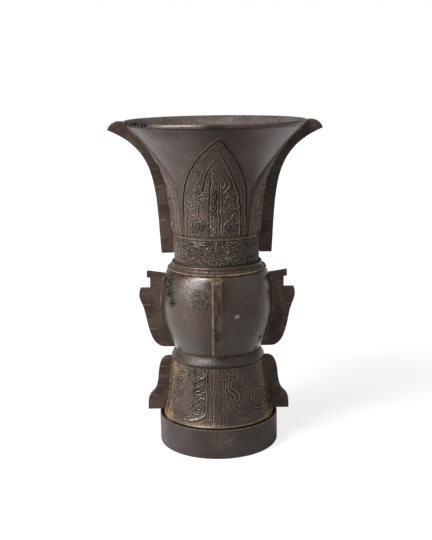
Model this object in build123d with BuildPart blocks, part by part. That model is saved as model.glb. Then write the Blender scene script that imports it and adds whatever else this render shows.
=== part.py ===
from build123d import *
import os

os.makedirs("parts", exist_ok=True)

# Bronze gu vase, cast in sections. Millimetres, Z up, origin under the middle of the plinth.
# The front faces -Y, and the tall flanges stand out along +X and -X.

# Heights of the stacked castings, from the table up
plinth_height = 22.0
foot_sink = 3.0
foot_height = 46.4
waist_ring_height = 7.4
bulb_height = 60.2
neck_ring_height = 5.4
neck_band_height = 20.6
flare_height = 81.0

# Outer radii
foot_lip_radius = 41.2
foot_top_radius = 34.2
bulb_base_radius = 31.8
bulb_belly_radius = 41.6
band_foot_radius = 30.9
rim_radius = 65.8

# Steps between the outlines of castings that meet
waist_ring_overhang = 0.5
waist_ring_step = 0.1
bulb_mouth_step = 3.9
neck_ring_overhang = 0.8
neck_bead_proud = 2.2
band_taper = 0.8
band_proud = 0.7
lip_overhang = 1.0

# Walls and the play left in the joints
trumpet_wall = 2.8
band_wall = 1.6
bulb_wall = 3.0
foot_wall = 3.2
foot_lip_wall = 4.2
plinth_wall = 4.5
joint_gap = 0.1
root_gap = 0.08

# Trumpet: the flare is one curve, pulled up from the neck and in from the rim
flare_neck_pull = (3.65, 30.9)
flare_rim_pull = (34.7, 29.7)
lip_root_drop = 3.2
lip_height = 2.6
spigot_depth = 7.0

# Leaf blades: four raised lancet panels round the trumpet, standing on the neck band
leaf_half_width = 21.2
leaf_spring_height = 26.0
leaf_height = 70.0
leaf_rise = 0.35
relief_root = 0.6

# Bulb: two curves that meet at the belly
belly_height = 34.7
bulb_base_pull = (3.7, 7.2)
belly_pull_down = 15.8
belly_pull_up = 9.1
mouth_pull = (4.0, 0.2)
mouth_ledge = 2.5

# Foot: one curve from the lip up to the waist, with a low rib in front and behind
foot_lip_height = 3.6
foot_lip_pull = (4.9, 7.3)
foot_top_pull = (2.1, 20.9)
foot_bore_pull = (1.05, 10.45)
rib_width = 5.0
rib_rise = 0.8

# Plinth: a band whose thin rim stands round the foot, with a groove between them
plinth_rim_wall = 1.4
plinth_groove = 1.7
plinth_ledge = 4.0
upstand_wall = 3.3
upstand_height = 2.4
plinth_edge_round = 1.2

# Waist ring and the floor plate that it carries
waist_ring_edge = 1.85
waist_spigot_wall = 3.0
waist_spigot_depth = 5.0
floor_rim_wall = 1.6
floor_ledge = 1.6
floor_thickness = 2.4

# Neck ring: a bead over a bevelled skirt
skirt_edge = 0.8
bead_height = 2.9
bead_inset = 0.8

# Flanges of the trumpet, with a beak that stands out past the rim
trumpet_flange_thickness = 5.0
trumpet_flange_lift = 5.5
trumpet_flange_reach = 9.4
trumpet_flange_pull = (3.5, 46.6)
beak_pull = (37.0, 15.0)
beak_reach = 11.2
beak_drop = 6.7
beak_flat = 3.8
beak_top_drop = 0.4
beak_slope = 0.12

# Hooked flanges of the bulb, measured from the belly and from the top of the bulb
bulb_flange_thickness = 6.0
hook_reach = 10.1
hook_root_drop = 5.2
hook_tip_drop = 2.7
hook_depth = 4.6
notch_reach = 7.7
ledge_drop = 15.7
ledge_reach = 15.2
hip_reach = 11.8
hip_height = 25.4
heel_reach = 7.7
ledge_pull = (2.6, 7.4)
hip_pull_up = (1.7, 9.2)
hip_pull_down = (2.5, 13.2)
heel_pull = (9.5, 0.8)

# Plain bars on the front and the back of the bulb
bar_width = 6.2
bar_rise = 2.6
bar_foot_clear = 0.8
bar_head_drop = 2.9

# Flanges of the foot, measured from the foot's lip and top
foot_flange_thickness = 5.6
shoulder_reach = 2.3
knee_reach = 4.6
knee_height = 26.2
toe_reach = 11.9
toe_height = 9.6
foot_flange_clear = 1.7
foot_flange_drop = 0.5
shoulder_pull = (9.6, 0.4)
knee_pull_up = (1.7, 5.2)
knee_pull_down = (1.4, 10.3)
toe_pull = 9.4

# Tenons on the roots of the flanges and bars, let into blind slots in the walls
tenon_thickness = 3.0
tenon_height = 8.0
tenon_depth = 1.6
tenon_run = 2.5
bar_tenon_run = 1.3
trumpet_tenons = (10.0, 30.0)
bulb_tenons = (18.0, 44.0)
foot_tenons = (15.0, 36.0)

# Short cuts across the outer edge of each flange
nick_length = 5.6
nick_width = 0.6
nick_depth = 0.35
trumpet_nick_pitch = 12.3
trumpet_nicks = 6
bulb_nicks = (5.6, 13.2, 22.5, 34.0, 41.0)
foot_nick_pitch = 7.5
foot_nicks = 4

# Levels of the joints between the castings
foot_seat = plinth_height - foot_sink
foot_top = foot_seat + foot_height
bulb_base = foot_top + waist_ring_height
bulb_top = bulb_base + bulb_height
band_base = bulb_top + neck_ring_height
band_top = band_base + neck_band_height
rim_top = band_top + flare_height
belly = bulb_base + belly_height

# Radii that follow from their neighbours, the walls and the play
lip_root_radius = rim_radius - lip_overhang
band_top_radius = band_foot_radius + band_taper
neck_radius = band_top_radius - band_proud
neck_bead_radius = band_foot_radius + neck_bead_proud
bulb_mouth_radius = band_foot_radius + bulb_mouth_step
neck_ring_radius = bulb_mouth_radius + neck_ring_overhang
neck_bore = band_foot_radius - band_wall
tube_radius = neck_bore - joint_gap
tube_bore = tube_radius - trumpet_wall
waist_ring_radius = foot_top_radius + waist_ring_overhang
waist_ring_top_radius = bulb_base_radius + waist_ring_step
foot_top_bore = foot_top_radius - foot_wall
foot_lip_bore = foot_lip_radius - foot_lip_wall
bulb_base_bore = bulb_base_radius - bulb_wall
lower_spigot_radius = foot_top_bore - joint_gap
upper_spigot_radius = bulb_base_bore - joint_gap
floor_seat_radius = upper_spigot_radius - floor_rim_wall
floor_radius = floor_seat_radius - joint_gap
waist_bore_radius = min(floor_radius - floor_ledge, lower_spigot_radius - waist_spigot_wall)
groove_radius = foot_lip_radius + plinth_groove
plinth_radius = groove_radius + plinth_rim_wall
plinth_rim_round = plinth_rim_wall / 3
upstand_radius = foot_lip_bore - joint_gap
plinth_bore_radius = upstand_radius - upstand_wall


def flare_points(shift):
    """Control points of the trumpet's outer curve, moved outwards by shift."""
    neck = Vector(neck_radius + shift, band_top)
    lip = Vector(lip_root_radius + shift, rim_top - lip_root_drop)
    return neck, neck + Vector(*flare_neck_pull), lip - Vector(*flare_rim_pull), lip


def bulb_points(shift):
    """Control points of the bulb's lower and upper curve, moved outwards by shift."""
    base = Vector(bulb_base_radius + shift, bulb_base)
    widest = Vector(bulb_belly_radius + shift, belly)
    mouth = Vector(bulb_mouth_radius + shift, bulb_top)
    lower = base, base + Vector(*bulb_base_pull), widest - Vector(0, belly_pull_down), widest
    mouth_out, mouth_down = mouth_pull
    upper = widest, widest + Vector(0, belly_pull_up), mouth + Vector(mouth_out, -mouth_down), mouth
    return lower, upper


def foot_points(shift):
    """Control points of the foot's outer curve, moved outwards by shift."""
    lip = Vector(foot_lip_radius + shift, foot_seat + foot_lip_height)
    top = Vector(foot_top_radius + shift, foot_top)
    lip_in, lip_up = foot_lip_pull
    top_out, top_down = foot_top_pull
    return lip, lip + Vector(-lip_in, lip_up), top + Vector(top_out, -top_down), top


def trumpet_core(shift):
    """Solid trumpet, larger by shift: it cuts roots, leaves and slots to the wall's own curve."""
    with BuildPart() as core:
        with BuildSketch(Plane.XZ):
            with BuildLine():
                flare = Bezier(*flare_points(shift))
                Polyline(
                    flare @ 1,
                    (rim_radius + shift, rim_top - lip_height),
                    (rim_radius + shift, rim_top + lip_height),
                    (0, rim_top + lip_height),
                    (0, band_top),
                    flare @ 0,
                )
            make_face()
        revolve(axis=Axis.Z)
    return core.part


def band_core(shift):
    """Solid cone of the neck band, larger by shift."""
    with BuildPart() as core:
        with BuildSketch(Plane.XZ):
            with BuildLine():
                Polyline(
                    (0, band_base),
                    (band_foot_radius + shift, band_base),
                    (band_top_radius + shift, band_top),
                    (0, band_top),
                    close=True,
                )
            make_face()
        revolve(axis=Axis.Z)
    return core.part


def bulb_core(shift):
    """Solid bulb, larger by shift."""
    lower, upper = bulb_points(shift)
    with BuildPart() as core:
        with BuildSketch(Plane.XZ):
            with BuildLine():
                Bezier(*lower)
                Bezier(*upper)
                Polyline(upper[3], (0, bulb_top), (0, bulb_base), lower[0])
            make_face()
        revolve(axis=Axis.Z)
    return core.part


def foot_core(shift):
    """Solid foot, larger by shift."""
    points = foot_points(shift)
    with BuildPart() as core:
        with BuildSketch(Plane.XZ):
            with BuildLine():
                Bezier(*points)
                Polyline(points[3], (0, foot_top), (0, foot_seat), (points[0].X, foot_seat), points[0])
            make_face()
        revolve(axis=Axis.Z)
    return core.part


def tenon_bar(level, gap):
    """Bar from the axis out along +X, as thick as a tenon with a gap all round it."""
    with BuildPart() as bar:
        with Locations((0, 0, level)):
            Box(
                rim_radius,
                tenon_thickness + 2 * gap,
                tenon_height + 2 * gap,
                align=(Align.MIN, Align.CENTER, Align.CENTER),
            )
    return bar.part


def tenons(core, levels, run):
    """Tenons at the given levels, from inside the wall out to run past it, with ends bent to its curve."""
    shell = core(run) - core(-tenon_depth)
    return [tenon_bar(level, 0) & shell for level in levels]


def slots(core, levels):
    """Blind slots for those tenons, with the play of the joints."""
    shell = core(tenon_run) - core(-tenon_depth - joint_gap)
    return [tenon_bar(level, joint_gap) & shell for level in levels]


def nick_cutters(tips, thickness):
    """Shallow cuts across both faces of a flange, running in from its outer edge at each tip."""
    with BuildPart() as cutters:
        with Locations([(reach, side * thickness / 2, level) for reach, level in tips for side in (-1, 1)]):
            Box(2 * nick_length, 2 * nick_depth, nick_width)
    return cutters.part


def edge_at(points, level):
    """Radius of a curve with these control points where it crosses a level, found by halving."""
    low, high = 0.0, 1.0
    rising = points[3].Y > points[0].Y
    for _ in range(40):
        t = (low + high) / 2
        weights = ((1 - t) ** 3, 3 * t * (1 - t) ** 2, 3 * t * t * (1 - t), t ** 3)
        height = sum(w * p.Y for w, p in zip(weights, points))
        if (height < level) == rising:
            low = t
        else:
            high = t
    return sum(w * p.X for w, p in zip(weights, points))


trumpet_levels = [band_top + step for step in trumpet_tenons]
bulb_levels = [bulb_base + step for step in bulb_tenons]
foot_levels = [foot_seat + step for step in foot_tenons]

# Plinth ring: the wall, the ledge that the foot stands on, and an upstand that centres the foot
with BuildPart() as plinth_ring:
    with BuildSketch(Plane.XZ):
        with BuildLine():
            Polyline(
                (plinth_radius - plinth_wall, 0),
                (plinth_radius, 0),
                (plinth_radius, plinth_height),
                (groove_radius, plinth_height),
                (groove_radius, foot_seat),
                (upstand_radius, foot_seat),
                (upstand_radius, foot_seat + upstand_height),
                (plinth_bore_radius, foot_seat + upstand_height),
                (plinth_bore_radius, foot_seat - plinth_ledge),
                (plinth_radius - plinth_wall, foot_seat - plinth_ledge),
                close=True,
            )
        make_face()
    revolve(axis=Axis.Z)
    outer_edges = plinth_ring.edges().filter_by(GeomType.CIRCLE).sort_by(lambda edge: -edge.radius)[:2]
    fillet(outer_edges.sort_by(Axis.Z)[0], plinth_edge_round)
    fillet(plinth_ring.edges().group_by(Axis.Z)[-1], plinth_rim_round)

# Foot: a flared shell with a plain lip, a low rib in front and behind, and slots at its sides
rib_face = foot_core(rib_rise)
rib_back = foot_core(-relief_root)
foot_slots = slots(foot_core, foot_levels)
with BuildPart() as foot_rib:
    with Locations((0, 0, foot_seat + foot_lip_height)):
        Box(
            rib_width,
            2 * plinth_radius,
            foot_height - foot_lip_height,
            align=(Align.CENTER, Align.CENTER, Align.MIN),
        )
    add(rib_face, mode=Mode.INTERSECT)
    add(rib_back, mode=Mode.SUBTRACT)

with BuildPart() as foot:
    with BuildSketch(Plane.XZ):
        with BuildLine():
            outer = foot_points(0)
            Bezier(*outer)
            Polyline(
                outer[0],
                (foot_lip_radius, foot_seat),
                (foot_lip_bore, foot_seat),
                (foot_lip_bore, foot_seat + foot_lip_height),
            )
            inner_lip = Vector(foot_lip_bore, foot_seat + foot_lip_height)
            inner_top = Vector(foot_top_bore, foot_top - waist_spigot_depth)
            inner_lip_pull = inner_lip + outer[1] - outer[0]
            inner_top_pull = inner_top + Vector(foot_bore_pull[0], -foot_bore_pull[1])
            Bezier(inner_lip, inner_lip_pull, inner_top_pull, inner_top)
            Polyline(inner_top, (foot_top_bore, foot_top), outer[3])
        make_face()
    revolve(axis=Axis.Z)
    add(foot_rib.part)
    with PolarLocations(0, 2):
        add(foot_slots, mode=Mode.SUBTRACT)

# Waist ring: a bevelled collar with a spigot into the foot, one into the bulb, and a rebate on top
with BuildPart() as waist_ring:
    with BuildSketch(Plane.XZ):
        with BuildLine():
            Polyline(
                (waist_bore_radius, foot_top - waist_spigot_depth),
                (lower_spigot_radius, foot_top - waist_spigot_depth),
                (lower_spigot_radius, foot_top),
                (waist_ring_radius, foot_top),
                (waist_ring_radius, foot_top + waist_ring_edge),
                (waist_ring_top_radius, bulb_base),
                (upper_spigot_radius, bulb_base),
                (upper_spigot_radius, bulb_base + waist_spigot_depth),
                (floor_seat_radius, bulb_base + waist_spigot_depth),
                (floor_seat_radius, bulb_base + waist_spigot_depth - floor_thickness),
                (waist_bore_radius, bulb_base + waist_spigot_depth - floor_thickness),
                close=True,
            )
        make_face()
    revolve(axis=Axis.Z)

# Floor plate: the disc that closes the vessel, let into the waist ring
with BuildPart() as floor_plate:
    with BuildSketch(Plane.XY.offset(bulb_base + waist_spigot_depth - floor_thickness)):
        Circle(floor_radius)
    extrude(amount=floor_thickness)

# Bulb: a hollow jar with a flat top round its mouth, and slots for the flanges and the bars
outer_lower, outer_upper = bulb_points(0)
inner_lower, inner_upper = bulb_points(-bulb_wall)
shoulder = Vector(neck_bore + mouth_ledge, bulb_top - bulb_wall)
bulb_slots = slots(bulb_core, bulb_levels)
with BuildPart() as bulb:
    with BuildSketch(Plane.XZ):
        with BuildLine():
            Bezier(*outer_lower)
            Bezier(*outer_upper)
            Polyline(outer_upper[3], (neck_bore, bulb_top), (neck_bore, bulb_top - bulb_wall), shoulder)
            Bezier(shoulder, shoulder + inner_upper[2] - inner_upper[3], inner_upper[1], inner_upper[0])
            Bezier(*inner_lower)
            Line(inner_lower[0], outer_lower[0])
        make_face()
    revolve(axis=Axis.Z)
    with PolarLocations(0, 4):
        add(bulb_slots, mode=Mode.SUBTRACT)

# Neck ring: a rounded bead over a skirt that overhangs the bulb's shoulder a little
bead_base = band_base - bead_height
with BuildPart() as neck_ring:
    with BuildSketch(Plane.XZ):
        with BuildLine():
            Polyline(
                (neck_bead_radius - bead_inset, band_base),
                (neck_bore, band_base),
                (neck_bore, bulb_top),
                (neck_ring_radius, bulb_top),
                (neck_ring_radius, bulb_top + skirt_edge),
                (neck_bead_radius - bead_inset, bead_base),
            )
            ThreePointArc(
                (neck_bead_radius - bead_inset, bead_base),
                (neck_bead_radius, bead_base + bead_height / 2),
                (neck_bead_radius - bead_inset, band_base),
            )
        make_face()
    revolve(axis=Axis.Z)

# Neck band: a slightly tapered sleeve round the trumpet's tube, whose upper edge stands proud
with BuildPart() as neck_band:
    with BuildSketch(Plane.XZ):
        with BuildLine():
            Polyline(
                (neck_bore, band_base),
                (band_foot_radius, band_base),
                (band_top_radius, band_top),
                (neck_bore, band_top),
                close=True,
            )
        make_face()
    revolve(axis=Axis.Z)

# Leaf blade: a thin skin over the trumpet, cut to a lancet outline seen from the front
leaf_spring = band_top + leaf_spring_height
leaf_tip = band_top + leaf_height
leaf_face = trumpet_core(leaf_rise)
leaf_back = trumpet_core(-relief_root)
with BuildPart() as leaf:
    with BuildSketch(Plane.XZ):
        with BuildLine():
            base_line = Line((-leaf_half_width, band_top), (leaf_half_width, band_top))
            right_side = Line(base_line @ 1, (leaf_half_width, leaf_spring))
            left_side = Line(base_line @ 0, (-leaf_half_width, leaf_spring))
            TangentArc(right_side @ 1, (0, leaf_tip), tangent=(0, 1))
            TangentArc(left_side @ 1, (0, leaf_tip), tangent=(0, 1))
        make_face()
    extrude(amount=rim_radius)
    add(leaf_face, mode=Mode.INTERSECT)
    add(leaf_back, mode=Mode.SUBTRACT)

# The side blades part in the middle, where a flange stands
with BuildPart() as split_leaf:
    add(leaf.part)
    with Locations((0, -rim_radius / 2, (band_top + rim_top) / 2)):
        Box(trumpet_flange_thickness + 2 * root_gap, rim_radius, flare_height, mode=Mode.SUBTRACT)

# Trumpet: a flared mouth with a lip, over a straight tube that passes down into the bulb
inner_mouth = Vector(rim_radius - trumpet_wall, rim_top)
inner_neck = Vector(tube_bore, band_top)
trumpet_slots = slots(trumpet_core, trumpet_levels)
with BuildPart() as trumpet:
    with BuildSketch(Plane.XZ):
        with BuildLine():
            flare = Bezier(*flare_points(0))
            Polyline(
                flare @ 1,
                (rim_radius, rim_top - lip_height),
                (rim_radius, rim_top),
                inner_mouth,
            )
            Bezier(
                inner_mouth,
                inner_mouth - Vector(*flare_rim_pull),
                inner_neck + Vector(*flare_neck_pull),
                inner_neck,
            )
            Polyline(
                inner_neck,
                (tube_bore, bulb_top - spigot_depth),
                (tube_radius, bulb_top - spigot_depth),
                (tube_radius, band_top),
                flare @ 0,
            )
        make_face()
    revolve(axis=Axis.Z)
    with PolarLocations(0, 2):
        add(leaf.part)
    with PolarLocations(0, 2, start_angle=90):
        add(split_leaf.part)
    with PolarLocations(0, 2):
        add(trumpet_slots, mode=Mode.SUBTRACT)

# Trumpet flange: a plate that follows the flare and ends in a beak beside the rim
flange_base = band_base + trumpet_flange_lift
flange_foot = Vector(band_foot_radius + trumpet_flange_reach, flange_base)
beak_tip = Vector(rim_radius + beak_reach, rim_top - beak_drop)
flange_edge = (
    flange_foot,
    flange_foot + Vector(*trumpet_flange_pull),
    beak_tip - Vector(*beak_pull),
    beak_tip,
)
beak_top = Vector(rim_radius + beak_flat, rim_top - beak_top_drop)
nick_levels = [flange_base + trumpet_nick_pitch * (step + 1) for step in range(trumpet_nicks)]
nick_tips = [(edge_at(flange_edge, level), level) for level in nick_levels]
flange_nicks = nick_cutters(nick_tips, trumpet_flange_thickness)
flange_tenons = tenons(trumpet_core, trumpet_levels, tenon_run)
flare_seat = trumpet_core(root_gap)
band_seat = band_core(root_gap)
with BuildPart() as trumpet_flange_right:
    with BuildSketch(Plane.XZ):
        with BuildLine():
            Bezier(*flange_edge)
            TangentArc(beak_top, beak_tip, tangent=(1, -beak_slope))
            Polyline(beak_top, (tube_bore, rim_top - beak_top_drop), (tube_bore, flange_base), flange_foot)
        make_face()
    extrude(amount=trumpet_flange_thickness / 2, both=True)
    add(flare_seat, mode=Mode.SUBTRACT)
    add(band_seat, mode=Mode.SUBTRACT)
    add(flange_tenons)
    add(flange_nicks, mode=Mode.SUBTRACT)

with BuildPart() as trumpet_flange_left:
    mirror(trumpet_flange_right.part, about=Plane.YZ)

# Hooked flange of the bulb: a hook above, a notch, a ledge, and a long curve down to the waist
ledge_tip = Vector(bulb_belly_radius + ledge_reach, bulb_top - ledge_drop)
hip = Vector(bulb_belly_radius + hip_reach, bulb_base + hip_height)
heel = Vector(bulb_base_radius + heel_reach, bulb_base)
flange_hip = (ledge_tip, ledge_tip + Vector(ledge_pull[0], -ledge_pull[1]), hip + Vector(*hip_pull_up), hip)
flange_heel = (hip, hip - Vector(*hip_pull_down), heel + Vector(*heel_pull), heel)
hook_radius = bulb_belly_radius + hook_reach
notch_radius = bulb_belly_radius + notch_reach
nick_tips = []
for step in bulb_nicks:
    level = bulb_top - hook_root_drop - step
    if level > ledge_tip.Y:
        nick_tips.append((notch_radius, level))
    elif level > hip.Y:
        nick_tips.append((edge_at(flange_hip, level), level))
    else:
        nick_tips.append((edge_at(flange_heel, level), level))
flange_nicks = nick_cutters(nick_tips, bulb_flange_thickness)
flange_tenons = tenons(bulb_core, bulb_levels, tenon_run)
bulb_seat = bulb_core(root_gap)
with BuildPart() as bulb_flange_right:
    with BuildSketch(Plane.XZ):
        with BuildLine():
            Polyline(
                heel,
                (bulb_base_bore, bulb_base),
                (bulb_base_bore, bulb_top - hook_root_drop),
                (bulb_mouth_radius, bulb_top - hook_root_drop),
                (hook_radius, bulb_top - hook_tip_drop),
                (hook_radius, bulb_top - hook_tip_drop - hook_depth),
                (notch_radius, bulb_top - hook_tip_drop - hook_depth),
                (notch_radius, ledge_tip.Y),
                ledge_tip,
            )
            Bezier(*flange_hip)
            Bezier(*flange_heel)
        make_face()
    extrude(amount=bulb_flange_thickness / 2, both=True)
    add(bulb_seat, mode=Mode.SUBTRACT)
    add(flange_tenons)
    add(flange_nicks, mode=Mode.SUBTRACT)

with BuildPart() as bulb_flange_left:
    mirror(bulb_flange_right.part, about=Plane.YZ)

# Plain bar on the front of the bulb, bent to the bulb's own curve, and its twin behind
bar_face = bulb_core(bar_rise)
bar_tenons = tenons(bulb_core, bulb_levels, bar_tenon_run)
with BuildPart() as bulb_bar_back:
    with Locations((0, 0, bulb_base + bar_foot_clear)):
        Box(
            bar_width,
            bulb_belly_radius + bar_rise,
            bulb_height - bar_foot_clear - bar_head_drop,
            align=(Align.CENTER, Align.MIN, Align.MIN),
        )
    add(bar_face, mode=Mode.INTERSECT)
    add(bulb_seat, mode=Mode.SUBTRACT)
    with PolarLocations(0, 1, start_angle=90):
        add(bar_tenons)

with BuildPart() as bulb_bar_front:
    mirror(bulb_bar_back.part, about=Plane.XZ)

# Foot flange: a rounded shoulder, a knee, and a toe that stands out over the plinth
foot_shoulder = Vector(foot_top_radius + shoulder_reach, foot_top - foot_flange_drop)
knee = Vector(foot_lip_radius + knee_reach, foot_seat + knee_height)
toe = Vector(foot_lip_radius + toe_reach, foot_seat + toe_height)
flange_shoulder = (
    foot_shoulder,
    foot_shoulder + Vector(*shoulder_pull),
    knee + Vector(-knee_pull_up[0], knee_pull_up[1]),
    knee,
)
flange_toe = (knee, knee + Vector(knee_pull_down[0], -knee_pull_down[1]), toe + Vector(0, toe_pull), toe)
nick_tips = []
for step in range(foot_nicks):
    level = foot_shoulder.Y - foot_nick_pitch * (step + 1)
    curve = flange_shoulder if level > knee.Y else flange_toe
    nick_tips.append((edge_at(curve, level), level))
flange_nicks = nick_cutters(nick_tips, foot_flange_thickness)
flange_tenons = tenons(foot_core, foot_levels, tenon_run)
foot_seat_cut = foot_core(root_gap)
flange_floor = plinth_height + foot_flange_clear
with BuildPart() as foot_flange_right:
    with BuildSketch(Plane.XZ):
        with BuildLine():
            Bezier(*flange_shoulder)
            Bezier(*flange_toe)
            Polyline(
                toe,
                (toe.X, flange_floor),
                (foot_top_bore, flange_floor),
                (foot_top_bore, foot_shoulder.Y),
                foot_shoulder,
            )
        make_face()
    extrude(amount=foot_flange_thickness / 2, both=True)
    add(foot_seat_cut, mode=Mode.SUBTRACT)
    add(flange_tenons)
    add(flange_nicks, mode=Mode.SUBTRACT)

with BuildPart() as foot_flange_left:
    mirror(foot_flange_right.part, about=Plane.YZ)

# One file for each casting
castings = {
    "plinth_ring": plinth_ring,
    "foot": foot,
    "waist_ring": waist_ring,
    "floor_plate": floor_plate,
    "bulb": bulb,
    "neck_ring": neck_ring,
    "neck_band": neck_band,
    "trumpet": trumpet,
    "trumpet_flange_left": trumpet_flange_left,
    "trumpet_flange_right": trumpet_flange_right,
    "bulb_flange_left": bulb_flange_left,
    "bulb_flange_right": bulb_flange_right,
    "bulb_bar_front": bulb_bar_front,
    "bulb_bar_back": bulb_bar_back,
    "foot_flange_left": foot_flange_left,
    "foot_flange_right": foot_flange_right,
}
for name, casting in castings.items():
    casting.part.label = name
    export_step(casting.part, f"parts/{name}.step")
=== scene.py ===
import math

import bmesh
import bpy
import numpy as np
from mathutils import Matrix, Vector


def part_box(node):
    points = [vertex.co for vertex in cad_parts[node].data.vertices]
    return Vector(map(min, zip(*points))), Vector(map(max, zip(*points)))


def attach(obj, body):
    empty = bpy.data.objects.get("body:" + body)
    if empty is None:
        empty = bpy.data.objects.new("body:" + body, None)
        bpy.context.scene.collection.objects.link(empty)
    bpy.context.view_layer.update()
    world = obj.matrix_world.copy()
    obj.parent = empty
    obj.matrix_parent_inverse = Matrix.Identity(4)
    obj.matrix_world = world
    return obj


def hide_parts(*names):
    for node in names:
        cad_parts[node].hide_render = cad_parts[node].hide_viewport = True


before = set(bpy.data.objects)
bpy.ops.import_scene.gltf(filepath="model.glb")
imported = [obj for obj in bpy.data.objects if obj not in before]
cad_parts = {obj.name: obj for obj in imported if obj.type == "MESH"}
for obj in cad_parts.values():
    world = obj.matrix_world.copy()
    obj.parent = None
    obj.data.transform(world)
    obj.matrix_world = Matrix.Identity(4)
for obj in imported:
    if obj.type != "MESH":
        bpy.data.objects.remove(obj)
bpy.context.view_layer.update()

# Looks of the bronze gu vase. Sizes are in millimetres and turn into metres by MM when a mesh is made.
MM = 0.001


def level(solid, end):
    """Height of a CAD node's lower end (0) or upper end (1)."""
    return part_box(solid)[end].z / MM


# Levels of the castings, read from the frame
foot_seat = level("foot", 0)
foot_top = level("foot", 1)
plinth_top = level("plinth_ring", 1)
bulb_base = level("bulb", 0)
bulb_top = level("bulb", 1)
band_base = level("neck_band", 0)
band_top = level("neck_band", 1)
tube_end = level("trumpet", 0)
rim_top = level("trumpet", 1)
spigot_low = level("waist_ring", 0)
spigot_high = level("waist_ring", 1)

# Radii and walls, as the part's source works them out
plinth_radius = 44.3
plinth_bore = 39.8
plinth_ledge = 4.0
upstand_radius = 36.9
upstand_bore = 33.6
upstand_height = 2.4
groove_radius = 42.9
foot_lip_radius = 41.2
foot_lip_height = 3.6
foot_lip_bore = 37.0
foot_top_radius = 34.2
foot_top_bore = 31.0
waist_radius = 34.7
waist_edge = 1.85
waist_top_radius = 31.9
lower_spigot_radius = 30.9
upper_spigot_radius = 28.7
floor_seat_radius = 27.1
floor_thickness = 2.4
waist_bore = 25.4
bulb_base_radius = 31.8
belly_radius = 41.6
belly = bulb_base + 34.7
bulb_mouth_radius = 34.8
bulb_wall = 3.0
neck_bore = 29.3
mouth_ledge = 2.5
skirt_radius = 35.6
bead_radius = 33.1
bead_height = 2.9
band_foot_radius = 30.9
band_top_radius = 31.7
neck_radius = 31.0
tube_radius = 29.2
tube_bore = 26.4
rim_radius = 65.8
lip_root_radius = 64.8
lip_root = rim_top - 3.2
lip_height = 2.6
rim_wall = 2.8
trumpet_flange_thickness = 5.0
bulb_flange_thickness = 6.0
foot_flange_thickness = 5.6
bar_width = 6.2
rib_width = 5.0
rib_rise = 0.8


# Small tools

def linear(code):
    """An sRGB hex colour as linear RGBA."""
    parts = [int(code[i:i + 2], 16) / 255 for i in (1, 3, 5)]
    return [c / 12.92 if c <= 0.04045 else ((c + 0.055) / 1.055) ** 2.4 for c in parts] + [1.0]


def node(tree, kind, inputs=None, **settings):
    """Adds a node with its settings, then sets or links its inputs; a node stands for its first output."""
    made = tree.nodes.new(kind)
    for key, value in settings.items():
        setattr(made, key, value)
    for key, value in (inputs or {}).items():
        if isinstance(value, bpy.types.Node):
            value = value.outputs[0]
        if isinstance(value, bpy.types.NodeSocket):
            tree.links.new(value, made.inputs[key])
        else:
            made.inputs[key].default_value = value
    return made


def smooth(low, high, value):
    """0 below low, 1 above high, and an S-curve between them."""
    t = np.clip((value - low) / (high - low), 0, 1)
    return t * t * (3 - 2 * t)


def curve(points, steps):
    """Points along a cubic curve with these four control points."""
    t = np.linspace(0, 1, steps)[:, None]
    a, b, c, d = (np.array(p, float) for p in points)
    return (1 - t) ** 3 * a + 3 * t * (1 - t) ** 2 * b + 3 * t * t * (1 - t) * c + t ** 3 * d


def radius_at(outline, height):
    """Radius of an outline that rises steadily, at each of these heights."""
    return np.interp(height, outline[:, 1], outline[:, 0])


# Spots along each side of the sheet of random numbers that the noise reads, before it repeats
sheet = 512


def noise(x, y, size, seed):
    """Smooth noise from 0 to 1 with spots of a given size."""
    lattice = np.random.default_rng(seed).random((sheet, sheet))
    u, v = x / size, y / size
    i, j = np.floor(u).astype(int), np.floor(v).astype(int)
    a, b = u - i, v - j
    a, b = a * a * (3 - 2 * a), b * b * (3 - 2 * b)
    i0, i1, j0, j1 = i % sheet, (i + 1) % sheet, j % sheet, (j + 1) % sheet
    low = lattice[i0, j0] * (1 - a) + lattice[i1, j0] * a
    high = lattice[i0, j1] * (1 - a) + lattice[i1, j1] * a
    return low * (1 - b) + high * b


def paint(mesh, name, values):
    """Stores one number for each vertex, which a material reads by this name."""
    attribute = mesh.attributes.get(name) or mesh.attributes.new(name, "FLOAT", "POINT")
    attribute.data.foreach_set("value", np.asarray(values, np.float32).ravel())


def coordinates(mesh):
    """Vertex positions in millimetres."""
    flat = np.empty(len(mesh.vertices) * 3, np.float32)
    mesh.vertices.foreach_get("co", flat)
    return flat.reshape(-1, 3).astype(float) / MM


def move_vertices(mesh, places):
    """Sets vertex positions, given in millimetres."""
    mesh.vertices.foreach_set("co", (places * MM).astype(np.float32).ravel())
    mesh.update()


def finish_mesh(mesh, sharp_angle):
    """Merges doubles, turns the faces outwards, and shades smooth up to an angle."""
    work = bmesh.new()
    work.from_mesh(mesh)
    bmesh.ops.remove_doubles(work, verts=work.verts, dist=0.002 * MM)
    bmesh.ops.recalc_face_normals(work, faces=work.faces)
    work.to_mesh(mesh)
    work.free()
    mesh.shade_smooth()
    mesh.set_sharp_from_angle(angle=math.radians(sharp_angle))


def new_object(name, mesh):
    """An object at the origin, in the scene."""
    made = bpy.data.objects.new(name, mesh)
    bpy.context.scene.collection.objects.link(made)
    return made


def settle(piece, slot, *nodes):
    """Puts a finished piece on the vessel's one body and hides the CAD nodes it stands for; the finish given
    as slot is not used.
    """
    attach(piece, "root")
    if nodes:
        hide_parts(*nodes)


def baked(obj):
    """The object's mesh with its modifiers applied, as a plain mesh."""
    graph = bpy.context.evaluated_depsgraph_get()
    return bpy.data.meshes.new_from_object(obj.evaluated_get(graph))


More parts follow.
